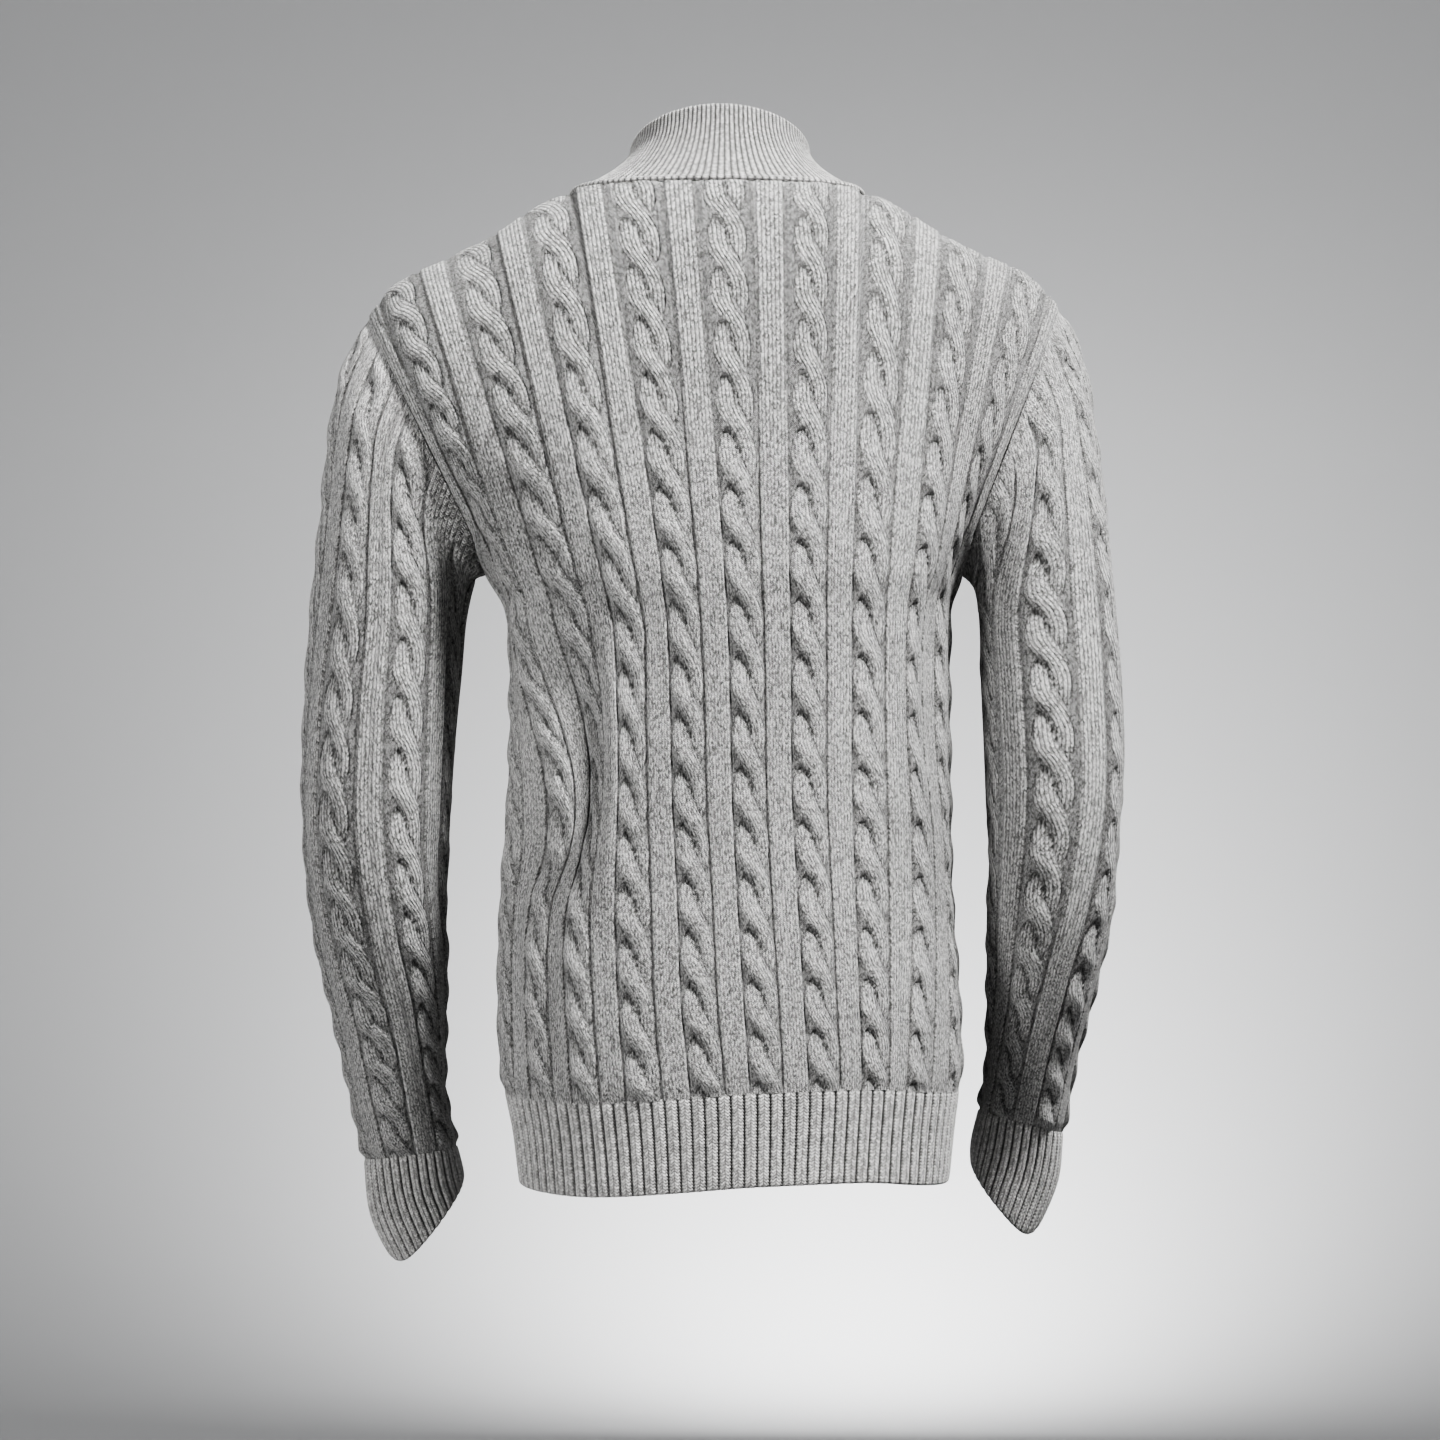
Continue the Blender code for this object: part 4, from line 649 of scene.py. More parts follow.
def knit_mesh(name, points, keep, stitch_u, stitch_v, region, purl, painted_shade, stretch, material,
              cable=None, closed=False, flip=False):
    """One smooth mesh from a grid of points; each face takes its stitches from its own region.

    The UV map "cable" counts cables sideways and twists upwards, where there are cables.
    """
    rows, columns = points.shape[:2]
    index = np.arange(rows * columns).reshape(rows, columns)
    corners = [index[:-1, :-1], index[:-1, 1:], index[1:, 1:], index[1:, :-1]]
    places = np.stack([c[keep] for c in corners], axis=-1)
    if flip:
        places = places[:, ::-1]
    faces = places
    if closed:
        faces = np.where(places % columns == columns - 1, places - (columns - 1), places)
    used = np.unique(faces)
    renumber = np.zeros(rows * columns, int)
    renumber[used] = np.arange(len(used))
    mesh = bpy.data.meshes.new(name)
    mesh.vertices.add(len(used))
    mesh.vertices.foreach_set("co", points.reshape(-1, 3)[used].astype(np.float32).ravel())
    mesh.loops.add(faces.size)
    mesh.loops.foreach_set("vertex_index", renumber[faces].ravel())
    mesh.polygons.add(len(faces))
    mesh.polygons.foreach_set("loop_start", np.arange(len(faces)) * 4)
    face_region = region[keep]
    u = np.take_along_axis(stitch_u.reshape(len(stitch_u), -1)[:, places.ravel()].reshape(
        len(stitch_u), -1, 4), face_region[None, :, None], axis=0)[0]
    v = stitch_v.ravel()[places]
    mesh.update(calc_edges=True)
    layer = mesh.uv_layers.new(name="stitches")
    layer.data.foreach_set("uv", np.stack([u, v], axis=-1).astype(np.float32).ravel())
    if cable is not None:
        layer = mesh.uv_layers.new(name="cable")
        layer.data.foreach_set("uv", np.stack([v.ravel()[places] for v in cable], axis=-1)
                               .astype(np.float32).ravel())
    # The masks are stored on the points; the second one darkens the wool's colour as painted shade.
    for label, values in (("purl", purl), ("painted_shade", painted_shade), ("stretch", stretch)):
        mask = mesh.attributes.new(label, "FLOAT", "POINT")
        mask.data.foreach_set("value", values.ravel()[used].astype(np.float32))
    mesh.shade_smooth()
    mesh.validate()
    mesh.materials.append(material)
    piece = bpy.data.objects.new(name, mesh)
    bpy.context.scene.collection.objects.link(piece)
    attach(piece, "root")
    return piece


def phase_shift(cable):
    """How far each cable's crossings lie above or below the others', in twists."""
    shift = sum(size * np.sin(speed * cable + start) for size, speed, start in CROSSING_WAVES)
    for number, known in MIDDLE_CROSSINGS.items():
        shift = np.where(cable == number, known, shift)
    return shift


def above_rib(twists):
    """Share of the cables' relief at a number of twists above the rib."""
    return EDGE["rib_relief"] + (1 - EDGE["rib_relief"]) * ease(twists / EDGE["rib"])


def face_regions(wale, twist, stretch):
    """Region of the knit in the middle of each face of a grid."""
    middle, height = (wale[:-1, :-1] + wale[1:, 1:]) / 2, (twist[:-1, :-1] + twist[1:, 1:]) / 2
    return cable_knit(middle - np.round(middle), height, stretch[1:, 1:])[1]


def body_panel(side):
    """Mesh of a panel: plain cloth, folds, cables and the plain band along each armhole."""
    columns = {round(r + c, 4) for r in range(-5, 6) for c in COLUMNS} | {5.5}
    columns |= {s * round(ARM_WALE - ARM_BAND["width"] + c, 4) for s in (-1, 1)
                for c in ARM_BAND["columns"]}
    columns = np.array(sorted(columns))
    rows = np.linspace(RIB_TWIST, TOP_TWIST, int((TOP_TWIST - RIB_TWIST) * ROWS_DRAWN) + 1)
    wale, twist = np.meshgrid(columns, rows)
    stretch = ease((twist - STRETCH_FROM) / STRETCH_OVER)
    drawn = np.round(wale)
    wale = drawn + drawn_at(wale - drawn, stretch)
    edge = arm_edge(twist)
    inside = np.abs(wale) <= edge + KEPT_BEYOND
    keep = inside[:-1, :-1] & inside[:-1, 1:] & inside[1:, 1:] & inside[1:, :-1]
    wale_used = np.clip(wale, -edge, edge)
    plain = body_plain(side, wale_used.ravel(), twist.ravel()).reshape(wale.shape + (3,))
    normals = grid_normals(plain, side == "front")
    surface = plain + normals * fold_rise(side, wale_used, twist)[..., None]
    normals = grid_normals(surface, side == "front")
    seen = wale_used if side == "back" else -wale_used
    cable = np.round(seen)
    shifted = twist + phase_shift(cable + CABLE_NUMBERS_FROM[side])
    relief, region, centres, painted_shade = cable_knit(seen - cable, shifted, stretch)
    to_seam = edge - np.abs(wale_used)
    band_grown = ease((twist - ARM_BAND["from"]) / ARM_BAND["over"])
    narrower = ARM_BAND["narrower"] * ease((twist - ARM_BAND["narrower_from"]) / ARM_BAND["narrower_over"])
    band_width = ARM_BAND["width"] * band_grown * (1 - narrower)
    in_band = to_seam < band_width
    roll = np.clip((band_width - to_seam) / BAND_ROLL, 0, 1)
    band = BAND_RISE * np.sqrt(1 - (1 - roll) ** 2) - ARM_BAND["lip"] * (1 - roll)
    relief = np.where(in_band, band, relief)
    # Painted shade: a dark line just outside the armhole band, where it meets the cables.
    outside = (to_seam - band_width - ARM_BAND["line_outside"]) / ARM_BAND["line_width"]
    band_line = ARM_BAND["line"] * np.exp(-outside ** 2)
    painted_shade = np.maximum(np.where(in_band, 0, painted_shade), band_line * band_grown)
    region = np.where(in_band, SEAM_BAND, region)
    near_side = ease(to_seam / EDGE["side"])
    near_top = ease((TOP_TWIST - twist) / EDGE["top"])
    relief = relief * near_side * near_top * above_rib(twist - RIB_TWIST) \
        - EDGE["sink"] * (1 - near_side * near_top)
    painted_shade = painted_shade * ease((TOP_TWIST - twist) / EDGE["top_shade"])
    points = surface + normals * relief[..., None]
    stitch_u = STITCHES * np.stack([seen, seen - centres[0], seen - centres[1], seen,
                                    np.sign(seen) * to_seam])
    face_region = np.where(in_band[:-1, :-1] & in_band[1:, 1:], SEAM_BAND,
                           face_regions(seen, shifted, stretch))
    purl = (region == LADDER).astype(float)
    if side == "front":
        points, twist = points[:, ::-1], twist[:, ::-1]
        stitch_u = stitch_u[:, :, ::-1]
        seen, shifted, keep, face_region = (v[:, ::-1] for v in (seen, shifted, keep, face_region))
        purl, painted_shade, stretch, in_band = (v[:, ::-1] for v in (purl, painted_shade, stretch, in_band))
    return knit_mesh("jumper_" + side, points, keep, stitch_u, twist * ROWS, face_region, purl, painted_shade,
                     stretch, cable_wool,
                     cable=(np.where(in_band, np.round(seen) + 0.5, seen), shifted))


def tuck_group():
    """Lines along the front strand of a crossing, where the other strand goes in below it: sunk into the bump
    and painted as shade.

    The lower line starts at the notch on the cable's left and dies away further down, sooner in
    stretched cloth. The upper one ends at the notch on the right.
    """
    group, given, result = new_group(
        "strand_tuck", [("Cable", "NodeSocketVector", None), ("Stretch", "NodeSocketFloat", 0.0)],
        [("Tuck", "NodeSocketFloat")])
    do = maths(group)
    split = group.nodes.new("ShaderNodeSeparateXYZ")
    link(group, [(given.outputs["Cable"], split.inputs[0])])
    across = do("SUBTRACT", do("FRACT", do("ADD", split.outputs[0], 0.5)), 0.5)
    narrowed = do("SUBTRACT", 1.0, do("MULTIPLY", given.outputs["Stretch"], STRAND_STRETCH))
    tucks = []
    for tuck in TUCKS:
        down = do("ADD", do("FRACT", do("SUBTRACT", CROSS_LEVEL - tuck["from"], split.outputs[1])),
                  tuck["from"])
        place = do("MULTIPLY", do("ADD", tuck["across"], do("MULTIPLY", down, tuck["slope"])), narrowed)
        away = do("DIVIDE", do("SUBTRACT", across, place), tuck["width"])
        line = do("EXPONENT", do("MULTIPLY", do("MULTIPLY", away, away), -1.0))
        limit = do("SUBTRACT", tuck["to"], do("MULTIPLY", given.outputs["Stretch"], tuck["shorter"]))
        start = do("MULTIPLY", do("SUBTRACT", down, tuck["from"]), TUCK_STARTS)
        finish = do("MULTIPLY", do("SUBTRACT", limit, down), TUCK_FADES)
        for end in (start, finish):
            end.node.use_clamp = True
        tucks.append(do("MULTIPLY", do("MULTIPLY", line, tuck["depth"]), do("MULTIPLY", start, finish)))
    link(group, [(do("MAXIMUM", *tucks), result.inputs["Tuck"])])
    return group


cable_wool = wool_material("cable_wool", pale=(0.86, 0.85, 0.835, 1), dark=(0.09, 0.089, 0.085, 1),
                           amount=1.0, stitch_height=0.0010, crease=tuck_group())

for side in ("back", "front"):
    panel = body_panel(side)
    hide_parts(side)


# ------------------------------------------------------------
# Sleeves
# Each is a knitted tube with seven cables round it, set into the armhole and drawn in at the wrist.
# The cloth hangs a little forwards from the elbow and lies in soft creases at the elbow and underarm.
# ------------------------------------------------------------
SLEEVE_REPEATS, SLEEVE_SQUARENESS, SEAM_WALE = 7, 2.15, 3.4999
SLEEVE_TOP, SLEEVE_EASE = 4.1, 2.4
SLEEVE_PITCH = 0.0395
SLEEVE_ROWS = 18
SLEEVE_STRETCH = {"most": 0.75, "from": -9, "over": 4, "to": 1.5, "fades_over": 2.5}
ARMHOLE_FADE = {"outside": 0.3, "inside": 2.2}
SLEEVE_TWISTS = (-11.45, -10, -8, -6, -4, -2, 0, 1, 2, 3, 4.1)
SLEEVE = {
    "left": {
        "outer_x": (-0.2560, -0.2624, -0.2731, -0.2852, -0.2924, -0.2909, -0.2857, -0.2798, -0.2741,
                    -0.2661, -0.2490),
        "outer_z": (-0.6748, -0.6356, -0.5766, -0.5143, -0.4433, -0.3634, -0.2782, -0.2224, -0.1680,
                    -0.1269, -0.0890),
        "inner_x": (-0.1918, -0.1988, -0.1982, -0.1956, -0.1935, -0.1886, -0.1845, -0.1801, -0.1754,
                    -0.1715, -0.1650),
        "inner_z": (-0.6661, -0.6316, -0.5766, -0.5143, -0.4433, -0.3686, -0.2990, -0.2790, -0.2722,
                    -0.2690, -0.2660),
        "forward": (0.072, 0.057, 0.035, 0.014, 0.002, 0.000, 0.003, 0.004, 0.004, 0.004, 0.004),
        "depth":   (0.0350, 0.0365, 0.0430, 0.0500, 0.0550, 0.0580, 0.0600, 0.0605, 0.0600, 0.0600,
                    0.0600),
        "turn":    (-7, -7, -12, -22, -28, -27, -23, -23, -23, -23, -23),
        "spread":  (60, 64, 59, 56, 54, 49, 43, 43, 45, 48, 50),
        "outward": (0, 0, 0, 0, 0, 0, 0, 5, 14, 25, 36),
    },
    "right": {
        "outer_x": (0.2353, 0.2415, 0.2544, 0.2668, 0.2724, 0.2710, 0.2638, 0.2586, 0.2514, 0.2455,
                    0.2290),
        "outer_z": (-0.6554, -0.6096, -0.5517, -0.4892, -0.4185, -0.3440, -0.2576, -0.2074, -0.1557,
                    -0.1215, -0.0820),
        "inner_x": (0.1773, 0.1823, 0.1811, 0.1801, 0.1790, 0.1762, 0.1735, 0.1705, 0.1670, 0.1635,
                    0.1590),
        "inner_z": (-0.6395, -0.6083, -0.5517, -0.4905, -0.4198, -0.3480, -0.2920, -0.2770, -0.2715,
                    -0.2685, -0.2660),
        "forward": (0.063, 0.047, 0.025, 0.008, 0.001, 0.001, 0.004, 0.004, 0.004, 0.004, 0.004),
        "depth":   (0.0335, 0.0350, 0.0415, 0.0480, 0.0530, 0.0560, 0.0580, 0.0590, 0.0595, 0.0600,
                    0.0600),
        "turn":    (-32, -31, -20, -12, -5, -5, -4, -4, -4, -4, -4),
        "spread":  (60, 62, 57, 60, 62, 61, 60, 57, 54, 51, 50),
        "outward": (0, 0, 0, 0, 0, 0, 0, 7, 18, 31, 44),
    },
}
SECTION_NAMES = ("outer_x", "outer_z", "inner_x", "inner_z", "forward", "depth")
NEARBY, ARMHOLE_POINTS = 1e-3, {"flare": 16, "above": 50}
SLEEVE_FOLDS = {
    "left": (
        (2.0, 1.2, 0.30, 1.6, 0.05, -0.0050),
        (2.6, 0.2, 0.35, 1.8, 0.05, 0.0030),
        (-1.5, -4.6, 0.45, 1.2, 0.25, -0.0022),
        (1.6, -4.9, 0.40, 1.0, -0.30, -0.0022),
        (3.0, -5.4, 0.60, 0.7, 0.20, -0.0035),
        (0.5, -8.6, 0.40, 1.0, 0.20, -0.0020),
    ),
    "right": (
        (-1.9, 1.0, 0.30, 1.6, -0.05, -0.0050),
        (-2.5, 0.1, 0.35, 1.8, -0.05, 0.0030),
        (1.5, -4.7, 0.45, 1.2, -0.25, -0.0022),
        (-1.5, -5.2, 0.40, 1.0, 0.30, -0.0022),
        (-3.0, -5.0, 0.60, 0.7, -0.20, -0.0035),
        (-0.5, -8.3, 0.40, 1.0, -0.20, -0.0020),
    ),
}


def body_surface(side, wale, twist):
    """Plain cloth of a panel with its folds, at scattered places."""
    across, up = (
        body_plain(side, np.clip(wale + a, -SIDE_WALE, SIDE_WALE), np.clip(twist + b, RIB_TWIST, TOP_TWIST))
        - body_plain(side, np.clip(wale - a, -SIDE_WALE, SIDE_WALE), np.clip(twist - b, RIB_TWIST, TOP_TWIST))
        for a, b in ((NEARBY, 0), (0, NEARBY)))
    outward = unit(np.cross(across, up)) * (1 if side == "back" else -1)
    return body_plain(side, wale, twist) + outward * fold_rise(side, wale, twist)[:, None]


def section(table, knots, where, turn, side):
    """Point on a rounded section between its outer and inner end; turn 0 faces straight back."""
    outer_x, outer_z, inner_x, inner_z, forward, depth = (
        smooth(where, knots, table[name]) for name in SECTION_NAMES)
    middle_x, middle_z = (outer_x + inner_x) / 2, (outer_z + inner_z) / 2
    sign = 1 if side == "right" else -1
    half_x, half_z = sign * (outer_x - inner_x) / 2, sign * (outer_z - inner_z) / 2
    half_width = np.hypot(half_x, half_z)
    reach = rounded(turn, half_width, depth, SLEEVE_SQUARENESS)
    across = reach * np.sin(turn) / half_width
    return np.stack([middle_x + half_x * across, forward - reach * np.cos(turn),
                     middle_z + half_z * across], axis=-1)


def sleeve_turn(side, wale, twist):
    """Where each wale lies round the sleeve; below the slanting armhole the wales crowd outwards."""
    table = SLEEVE[side]
    spread = smooth(twist, SLEEVE_TWISTS, table["spread"])
    half = SLEEVE_REPEATS / 2
    around = np.stack([np.full_like(spread, -180), -spread, 0 * spread, spread,
                       np.full_like(spread, 180)], axis=-1)
    turn = np.radians(smooth(wale, (-half, -1, 0, 1, half), around)
                      + smooth(twist, SLEEVE_TWISTS, table["turn"]))
    outward = np.radians(smooth(twist, SLEEVE_TWISTS, table["outward"])) * (-1 if side == "left" else 1)
    return turn + outward * np.cos(turn)


def armhole_loop(side):
    """Armhole seam of the two panels, as points by turn round the sleeve's top."""
    twist = np.concatenate([np.linspace(0, ARM_FLARE, ARMHOLE_POINTS["flare"]),
                            np.linspace(ARM_FLARE, TOP_TWIST, ARMHOLE_POINTS["above"])[1:]])
    wale = arm_edge(twist) * (-1 if side == "left" else 1)
    points = np.concatenate([body_surface("back", wale, twist),
                             body_surface("front", wale[1:-1], twist[1:-1])])
    table = SLEEVE[side]
    outer = np.array([table["outer_x"][-1], table["outer_z"][-1]])
    inner = np.array([table["inner_x"][-1], table["inner_z"][-1]])
    half = (outer - inner) / 2 if side == "right" else (inner - outer) / 2
    across = (points[:, [0, 2]] - (outer + inner) / 2) @ half / np.linalg.norm(half)
    turns = np.arctan2(across, table["forward"][-1] - points[:, 1])
    order = np.argsort(turns)
    return turns[order], points[order]


def sleeve_plain(side, turn, twist, loop_turns, loop_points):
    point = section(SLEEVE[side], SLEEVE_TWISTS, twist, turn, side)
    top = section(SLEEVE[side], SLEEVE_TWISTS, np.full_like(turn, SLEEVE_TOP), turn, side)
    wrapped = (turn + np.pi) % (2 * np.pi) - np.pi
    fitted = np.stack([np.interp(wrapped, loop_turns, axis, period=2 * np.pi)
                       for axis in loop_points.T], axis=-1)
    pull = 1 - ease((SLEEVE_TOP - twist) / SLEEVE_EASE)
    return point + (fitted - top) * pull[:, None]


def tube_normals(points):
    """Outward directions on a grid whose first and last columns are the same line."""
    ring = points[:, :-1]
    across = np.roll(ring, -1, axis=1) - np.roll(ring, 1, axis=1)
    up = np.gradient(ring, axis=0)
    outward = unit(np.cross(across, up))
    return np.concatenate([outward, outward[:, :1]], axis=1)


def sleeve_mesh(side):
    """Mesh of a sleeve: a tube of plain cloth, folds and cables that fades into the armhole seam."""
    columns = np.array([round(r + c, 4) for r in range(-3, 4) for c in COLUMNS] + [SEAM_WALE])
    rows = np.linspace(SLEEVE_TWISTS[0], SLEEVE_TOP, int((SLEEVE_TOP - SLEEVE_TWISTS[0]) * SLEEVE_ROWS))
    wale, twist = np.meshgrid(columns, rows)
    stretch = SLEEVE_STRETCH["most"] * ease((twist - SLEEVE_STRETCH["from"]) / SLEEVE_STRETCH["over"]) \
        * ease((SLEEVE_STRETCH["to"] - twist) / SLEEVE_STRETCH["fades_over"])
    drawn = np.round(wale)
    wale = drawn + drawn_at(wale - drawn, stretch)
    loop = armhole_loop(side)
    turn = sleeve_turn(side, wale.ravel(), twist.ravel())
    plain = sleeve_plain(side, turn, twist.ravel(), *loop).reshape(wale.shape + (3,))
    plain[:, -1] = plain[:, 0]
    turn = turn.reshape(wale.shape)
    rise = folds_at(SLEEVE_FOLDS[side], wale, twist, around=SLEEVE_REPEATS)
    rise = rise * ease((SLEEVE_TOP - twist) / FOLD_ENDS["twists"])
    rise = rise * ease((twist - SLEEVE_TWISTS[0]) / FOLD_ENDS["twists"])
    surface = plain + tube_normals(plain) * rise[..., None]
    normals = tube_normals(surface)
    cable = np.round(wale)
    above = (plain[..., 2] - plain[np.argmin(np.abs(rows)), :, 2]) / SLEEVE_PITCH
    phase = np.where(twist > 0, above, twist) + phase_shift(cable + CABLE_NUMBERS_FROM[side])
    relief, region, centres, painted_shade = cable_knit(wale - cable, phase, stretch)
    inward = 0.5 + 0.5 * np.sin(turn if side == "left" else -turn)
    fade = ARMHOLE_FADE["outside"] + ARMHOLE_FADE["inside"] * inward ** 2
    near_edge = ease((SLEEVE_TOP - twist) / fade) * above_rib(twist - SLEEVE_TWISTS[0])
    painted_shade = painted_shade * near_edge
    relief = relief * near_edge - EDGE["sink"] * (1 - near_edge)
    points = surface + normals * relief[..., None]
    stitch_u = np.stack([wale, wale - centres[0], wale - centres[1], wale]) * STITCHES
    purl = (region == LADDER).astype(float)
    keep = np.ones((len(rows) - 1, len(columns) - 1), bool)
    return knit_mesh("jumper_sleeve_" + side, points, keep, stitch_u, phase * ROWS,
                     face_regions(wale, phase, stretch), purl, painted_shade, stretch, cable_wool,
                     cable=(wale, phase), closed=True)


for side in ("left", "right"):
    sleeve = sleeve_mesh(side)
    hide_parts(*(f"sleeve_{side}_{part}" for part in ("upper", "elbow", "lower")))


# ------------------------------------------------------------
# Cuffs
# Rib knit bands at the ends of the sleeves, knitted on with the sleeve. Thirty-four ribs go round,
# each two stitches wide with a narrow furrow between, and the end is soft and a little rolled.
# ------------------------------------------------------------
CUFF_RIBS, CUFF_RISE, CUFF_LENGTH = 34, 0.0019, 0.065
CUFF_SHARES = (0, 0.5, 1)
CUFF = {
    "left": {"outer_x": (-0.2560, -0.2529, -0.2392), "outer_z": (-0.6748, -0.7134, -0.7448),
             "inner_x": (-0.1918, -0.1877, -0.1859), "inner_z": (-0.6661, -0.6837, -0.6947),
             "forward": (0.072, 0.081, 0.088), "depth": (0.0350, 0.0360, 0.0370)},
    "right": {"outer_x": (0.2353, 0.2328, 0.2193), "outer_z": (-0.6554, -0.6900, -0.7244),
              "inner_x": (0.1773, 0.1721, 0.1705), "inner_z": (-0.6395, -0.6633, -0.6808),
              "forward": (0.063, 0.074, 0.082), "depth": (0.0335, 0.0345, 0.0355)},
}
CUFF_SAG = {"most": 0.008, "outer_end": 0.6, "inward": 0.35, "downward": -0.94}
CUFF_CORNER = {"sharpness": 14, "shorter": 0.15}
EDGE_ROLL, EDGE_INSIDE, EDGE_TURNS = 0.0016, 0.012, (30, 60, 90, 120, 150)
ROLL_LENGTH, FIRST_ROW, INSIDE_ROWS = 0.005, 0.001, 5
RIB = {"side": 0.26, "squareness": 0.6, "level": 0.55, "seam": 0.05, "side_seam": 0.6,
       "worn": 0.35, "worn_from": 0.9, "purl": 0.12, "furrow": 0.15, "stitches": 2, "row": 0.0022}
BAND_SEAM_ROWS, BAND_ROWS = (0.0, 0.012, 0.024, 0.04), (0.07, 1, 20)
RIB_COLUMNS = (0.0, 0.09, 0.16, 0.22, 0.30, 0.5, 0.70, 0.78, 0.84, 0.91)

rib_wool = wool_material("rib_wool", pale=(0.78, 0.77, 0.755, 1), dark=(0.14, 0.138, 0.132, 1),
                         amount=0.75, stitch_height=0.0008)


def rib_relief(place, rise):
    """A flat rib with rounded sides and a narrow furrow, at places counted in ribs from a furrow."""
    away = np.abs(place - np.round(place))
    return rise * (np.clip(away / RIB["side"], 0, 1) ** RIB["squareness"] - RIB["level"])


def rolled(edge, facing, onward, degrees):
    """Rows of an edge that rolls over from the outside to the inside."""
    return [edge - facing * EDGE_ROLL * (1 - np.cos(a)) + onward * EDGE_ROLL * np.sin(a)
            for a in np.radians(degrees)]


def rib_mesh(name, points, place, stitches, rows, purl_width, furrow_width, closed):
    """Mesh of a rib from its rows of points, its place in ribs and its stitches to a rib."""
    shape = points.shape[:2]
    away = np.abs(place - np.round(place))
    purl = np.broadcast_to((away < purl_width).astype(float), shape)
    # Painted shade: the wool is darkened in the furrows between ribs, out to furrow_width of a rib on either
    # side.
    painted_shade = np.broadcast_to(np.clip(1 - away / furrow_width, 0, 1), shape)
    stitch_u = np.broadcast_to(stitches * place, shape)
    stitch_v = np.broadcast_to(-rows[:, None], shape)
    region = np.zeros((shape[0] - 1, shape[1] - 1), int)
    return knit_mesh(name, points, np.ones(region.shape, bool), stitch_u[None], stitch_v, region, purl,
                     painted_shade, 0 * purl, rib_wool, closed=closed, flip=True)


def rib_band(name, surface_at, ribs, rise, length, closed):
    """Band of ribs from its seam to its free edge, rolled over the edge and turned up inside.

    surface_at gives the plain cloth at a share round and a share down the band.
    """
    place = np.array([r + c for r in range(ribs) for c in RIB_COLUMNS] + [ribs])
    down = np.concatenate([BAND_SEAM_ROWS, np.linspace(*BAND_ROWS)])
    plain = np.stack([surface_at(place / ribs, np.full(len(place), share)) for share in down])
    if closed:
        plain[:, -1] = plain[:, 0]
        normals = -tube_normals(plain)
    else:
        normals = -unit(np.cross(np.gradient(plain, axis=1), np.gradient(plain, axis=0)))
    worn = RIB["worn"] * ease((down - RIB["worn_from"]) / (1 - RIB["worn_from"]))
    relief = rib_relief(place, rise) * (ease(down / RIB["seam"]) * (1 - worn))[:, None]
    if not closed:
        relief *= ease(np.minimum(place, ribs - place) / RIB["side_seam"])
    outside = plain + normals * relief[..., None]
    onward = unit(plain[-1] - plain[-2])
    inward = [plain[-1] - normals[-1] * 2 * EDGE_ROLL - onward * reach
              for reach in np.linspace(0, EDGE_INSIDE, INSIDE_ROWS)]
    points = np.concatenate([outside, rolled(outside[-1], normals[-1], onward, EDGE_TURNS), inward])
    rows = np.concatenate([
        down * length, length + np.linspace(FIRST_ROW, ROLL_LENGTH, len(EDGE_TURNS)),
        length + ROLL_LENGTH + np.linspace(FIRST_ROW, EDGE_INSIDE, INSIDE_ROWS)]) / RIB["row"]
    return rib_mesh(name, points, place, RIB["stitches"], rows, RIB["purl"], RIB["furrow"], closed)


def cuff_at(side):
    out = -1 if side == "left" else 1
    hang = np.array([-out * CUFF_SAG["inward"], 0, CUFF_SAG["downward"]])

    def surface(share_round, share_down):
        turn = (share_round - 0.5) * 2 * np.pi
        outermost = ((1 + np.sin(turn) * out) / 2) ** CUFF_CORNER["sharpness"]
        share_down = share_down * (1 - CUFF_CORNER["shorter"] * outermost)
        point = section(CUFF[side], CUFF_SHARES, share_down, turn, side)
        sag = CUFF_SAG["most"] * share_down ** 2 * (np.cos(turn) + CUFF_SAG["outer_end"] * np.sin(turn) * out)
        return point + sag[:, None] * hang
    return surface


for side in ("left", "right"):
    cuff = rib_band("jumper_cuff_" + side, cuff_at(side), CUFF_RIBS, CUFF_RISE, CUFF_LENGTH,
                    closed=True)
    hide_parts(f"cuff_{side}_rib")


# ------------------------------------------------------------
# Hem
# Rib knit band round the bottom, knitted on with the back and the front and joined at the side seams.
# Forty-nine ribs lie on each panel. The back hangs a little lower than the front.
# ------------------------------------------------------------
HEM_RIBS, HEM_RISE = 49, 0.0020
RIB_Z, SEAM_POINTS = -0.614, 400
HEM_LENGTH = {"back": 0.0625, "front": 0.058}


def hem_at(side):
    wales = np.linspace(-SIDE_WALE, SIDE_WALE, SEAM_POINTS)
    seam = body_plain(side, wales, np.full_like(wales, RIB_TWIST))
    arc = np.concatenate([[0], np.cumsum(np.linalg.norm(np.diff(seam, axis=0), axis=1))])

    def surface(share_round, share_down):
        share = share_round if side == "back" else 1 - share_round
        wale = np.interp(share, arc / arc[-1], wales)
        line = RIB_Z + smooth(wale, LINE_WALES, LINE_DIP)
        return body_ring(side, wale, line - share_down * HEM_LENGTH[side])
    return surface


for side in ("back", "front"):
    hem = rib_band("jumper_hem_" + side, hem_at(side), HEM_RIBS, HEM_RISE, HEM_LENGTH[side],
                   closed=False)
    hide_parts(f"hem_{side}_rib")


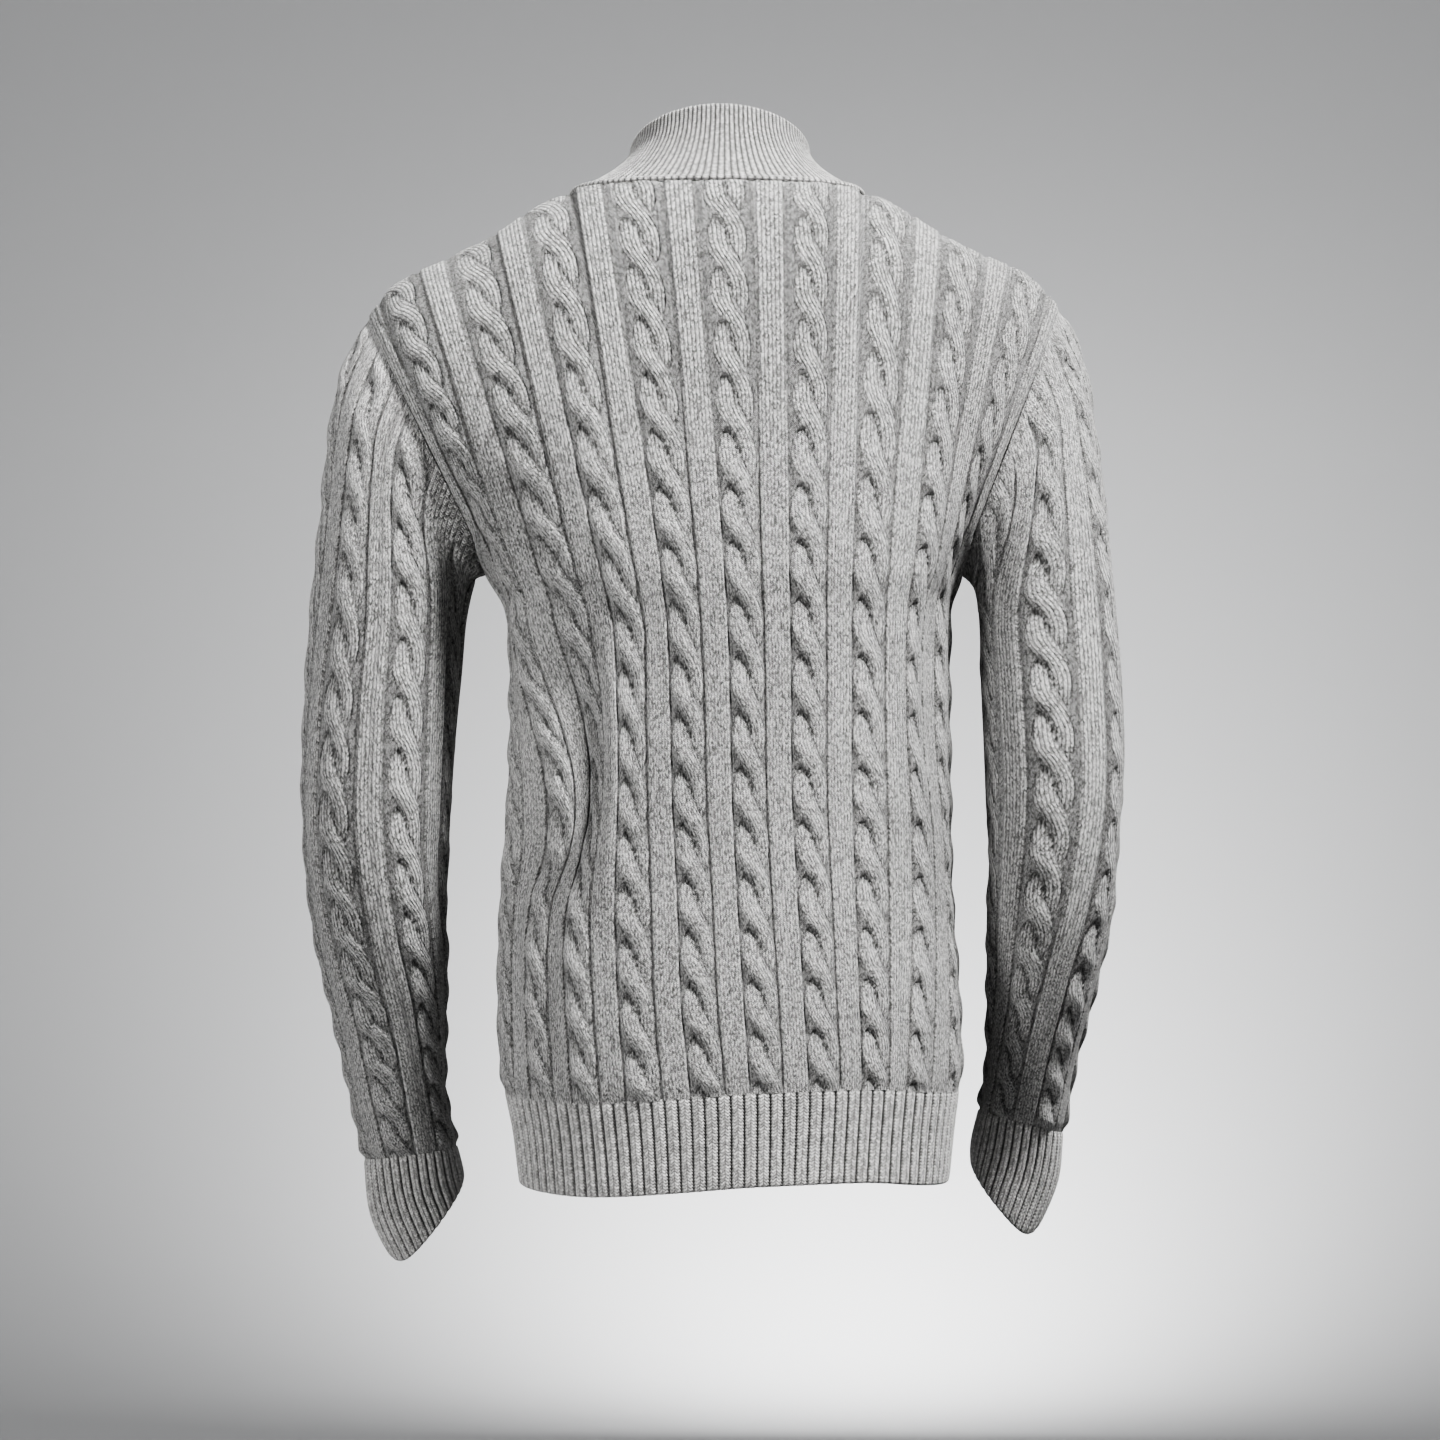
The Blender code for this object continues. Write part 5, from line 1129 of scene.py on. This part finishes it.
# ------------------------------------------------------------
# Collar
# Stand collar in fine one-and-one rib, set on the neck seam over a small roll of its own edge. It
# flares at its foot and closes in round the neck, and its rim is folded over to the inside.
# ------------------------------------------------------------
COLLAR_RIBS, COLLAR_RISE, COLLAR_FLARE = 124, 0.0008, 2.2
COLLAR_ROLL, COLLAR_TURNS = 0.0021, (-70, -35, 0, 35, 70, 100)
COLLAR_COLUMNS = (0.0, 0.12, 0.25, 0.5, 0.75, 0.88)
COLLAR_ROWS, COLLAR_SEAM_ROWS, COLLAR_FOLDED_ROWS = (0, 0.94, 20), (0.97, 0.985), (9, 6, 4, 2, 0)
COLLAR = {"squareness": 0.8, "level": 0.5, "roll_out": 0.9, "roll_in": -1.1, "roll_ribs": 0.6,
          "roll_lift": 0.2, "stitches": 1, "row": 0.0021, "purl": 0.15, "furrow": 0.3}
RIM = {"x": -0.0055, "y": 0.002, "half_width": 0.0620, "depth": 0.0640, "z": 0.024, "tilt": 0.026}


def collar_at(share_round, share_down):
    """Plain cloth of the collar, from its rim (0 down) to its seam (1 down)."""
    turn = (share_round - 0.5) * 2 * np.pi
    base = neck_ring(turn)
    rim = np.stack([RIM["x"] + RIM["half_width"] * np.sin(turn), RIM["y"] - RIM["depth"] * np.cos(turn),
                    RIM["z"] + RIM["tilt"] * np.cos(turn)], axis=-1)
    up = 1 - share_down
    draw_in = 1 - (1 - up) ** COLLAR_FLARE
    return base + (rim - base) * np.stack([draw_in, draw_in, up], axis=-1)


def collar_mesh():
    place = np.array([r + c for r in range(COLLAR_RIBS) for c in COLLAR_COLUMNS] + [COLLAR_RIBS])
    down = np.concatenate([np.linspace(*COLLAR_ROWS), COLLAR_SEAM_ROWS])
    plain = np.stack([collar_at(place / COLLAR_RIBS, np.full(len(place), share)) for share in down])
    plain[:, -1] = plain[:, 0]
    normals = -tube_normals(plain)
    away = np.abs(place - np.round(place))
    relief = COLLAR_RISE * (np.sin(np.pi * away) ** COLLAR["squareness"] - COLLAR["level"])
    outside = plain + normals * relief[:, None]
    turned = rolled(outside[0], normals[0], unit(plain[0] - plain[1]), EDGE_TURNS[::-1])
    inward = [plain[k] - normals[k] * 2 * EDGE_ROLL for k in COLLAR_FOLDED_ROWS]
    turn = (place / COLLAR_RIBS - 0.5) * 2 * np.pi
    outward, sidelong = (
        unit(np.stack([np.sin(turn), -np.cos(turn), np.full_like(turn, COLLAR[name])], axis=-1))
        for name in ("roll_out", "roll_in"))
    roll = [neck_ring(turn) + outward * (COLLAR_ROLL * np.cos(a) + relief[:, None] * COLLAR["roll_ribs"])
            + sidelong * COLLAR_ROLL * (COLLAR["roll_lift"] + np.sin(a)) for a in np.radians(COLLAR_TURNS)]
    points = np.concatenate([inward, turned, outside, roll])
    step = np.linalg.norm(np.diff(points[:, 0], axis=0), axis=-1)
    rows = np.concatenate([[0], np.cumsum(step)]) / COLLAR["row"]
    return rib_mesh("jumper_collar", points, place, COLLAR["stitches"], rows, COLLAR["purl"],
                    COLLAR["furrow"], closed=True)


collar = collar_mesh()
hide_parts("collar")


# ------------------------------------------------------------
# Size
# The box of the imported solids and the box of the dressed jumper, in metres.
# ------------------------------------------------------------
size = {"cad": solid_box, "visual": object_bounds()}
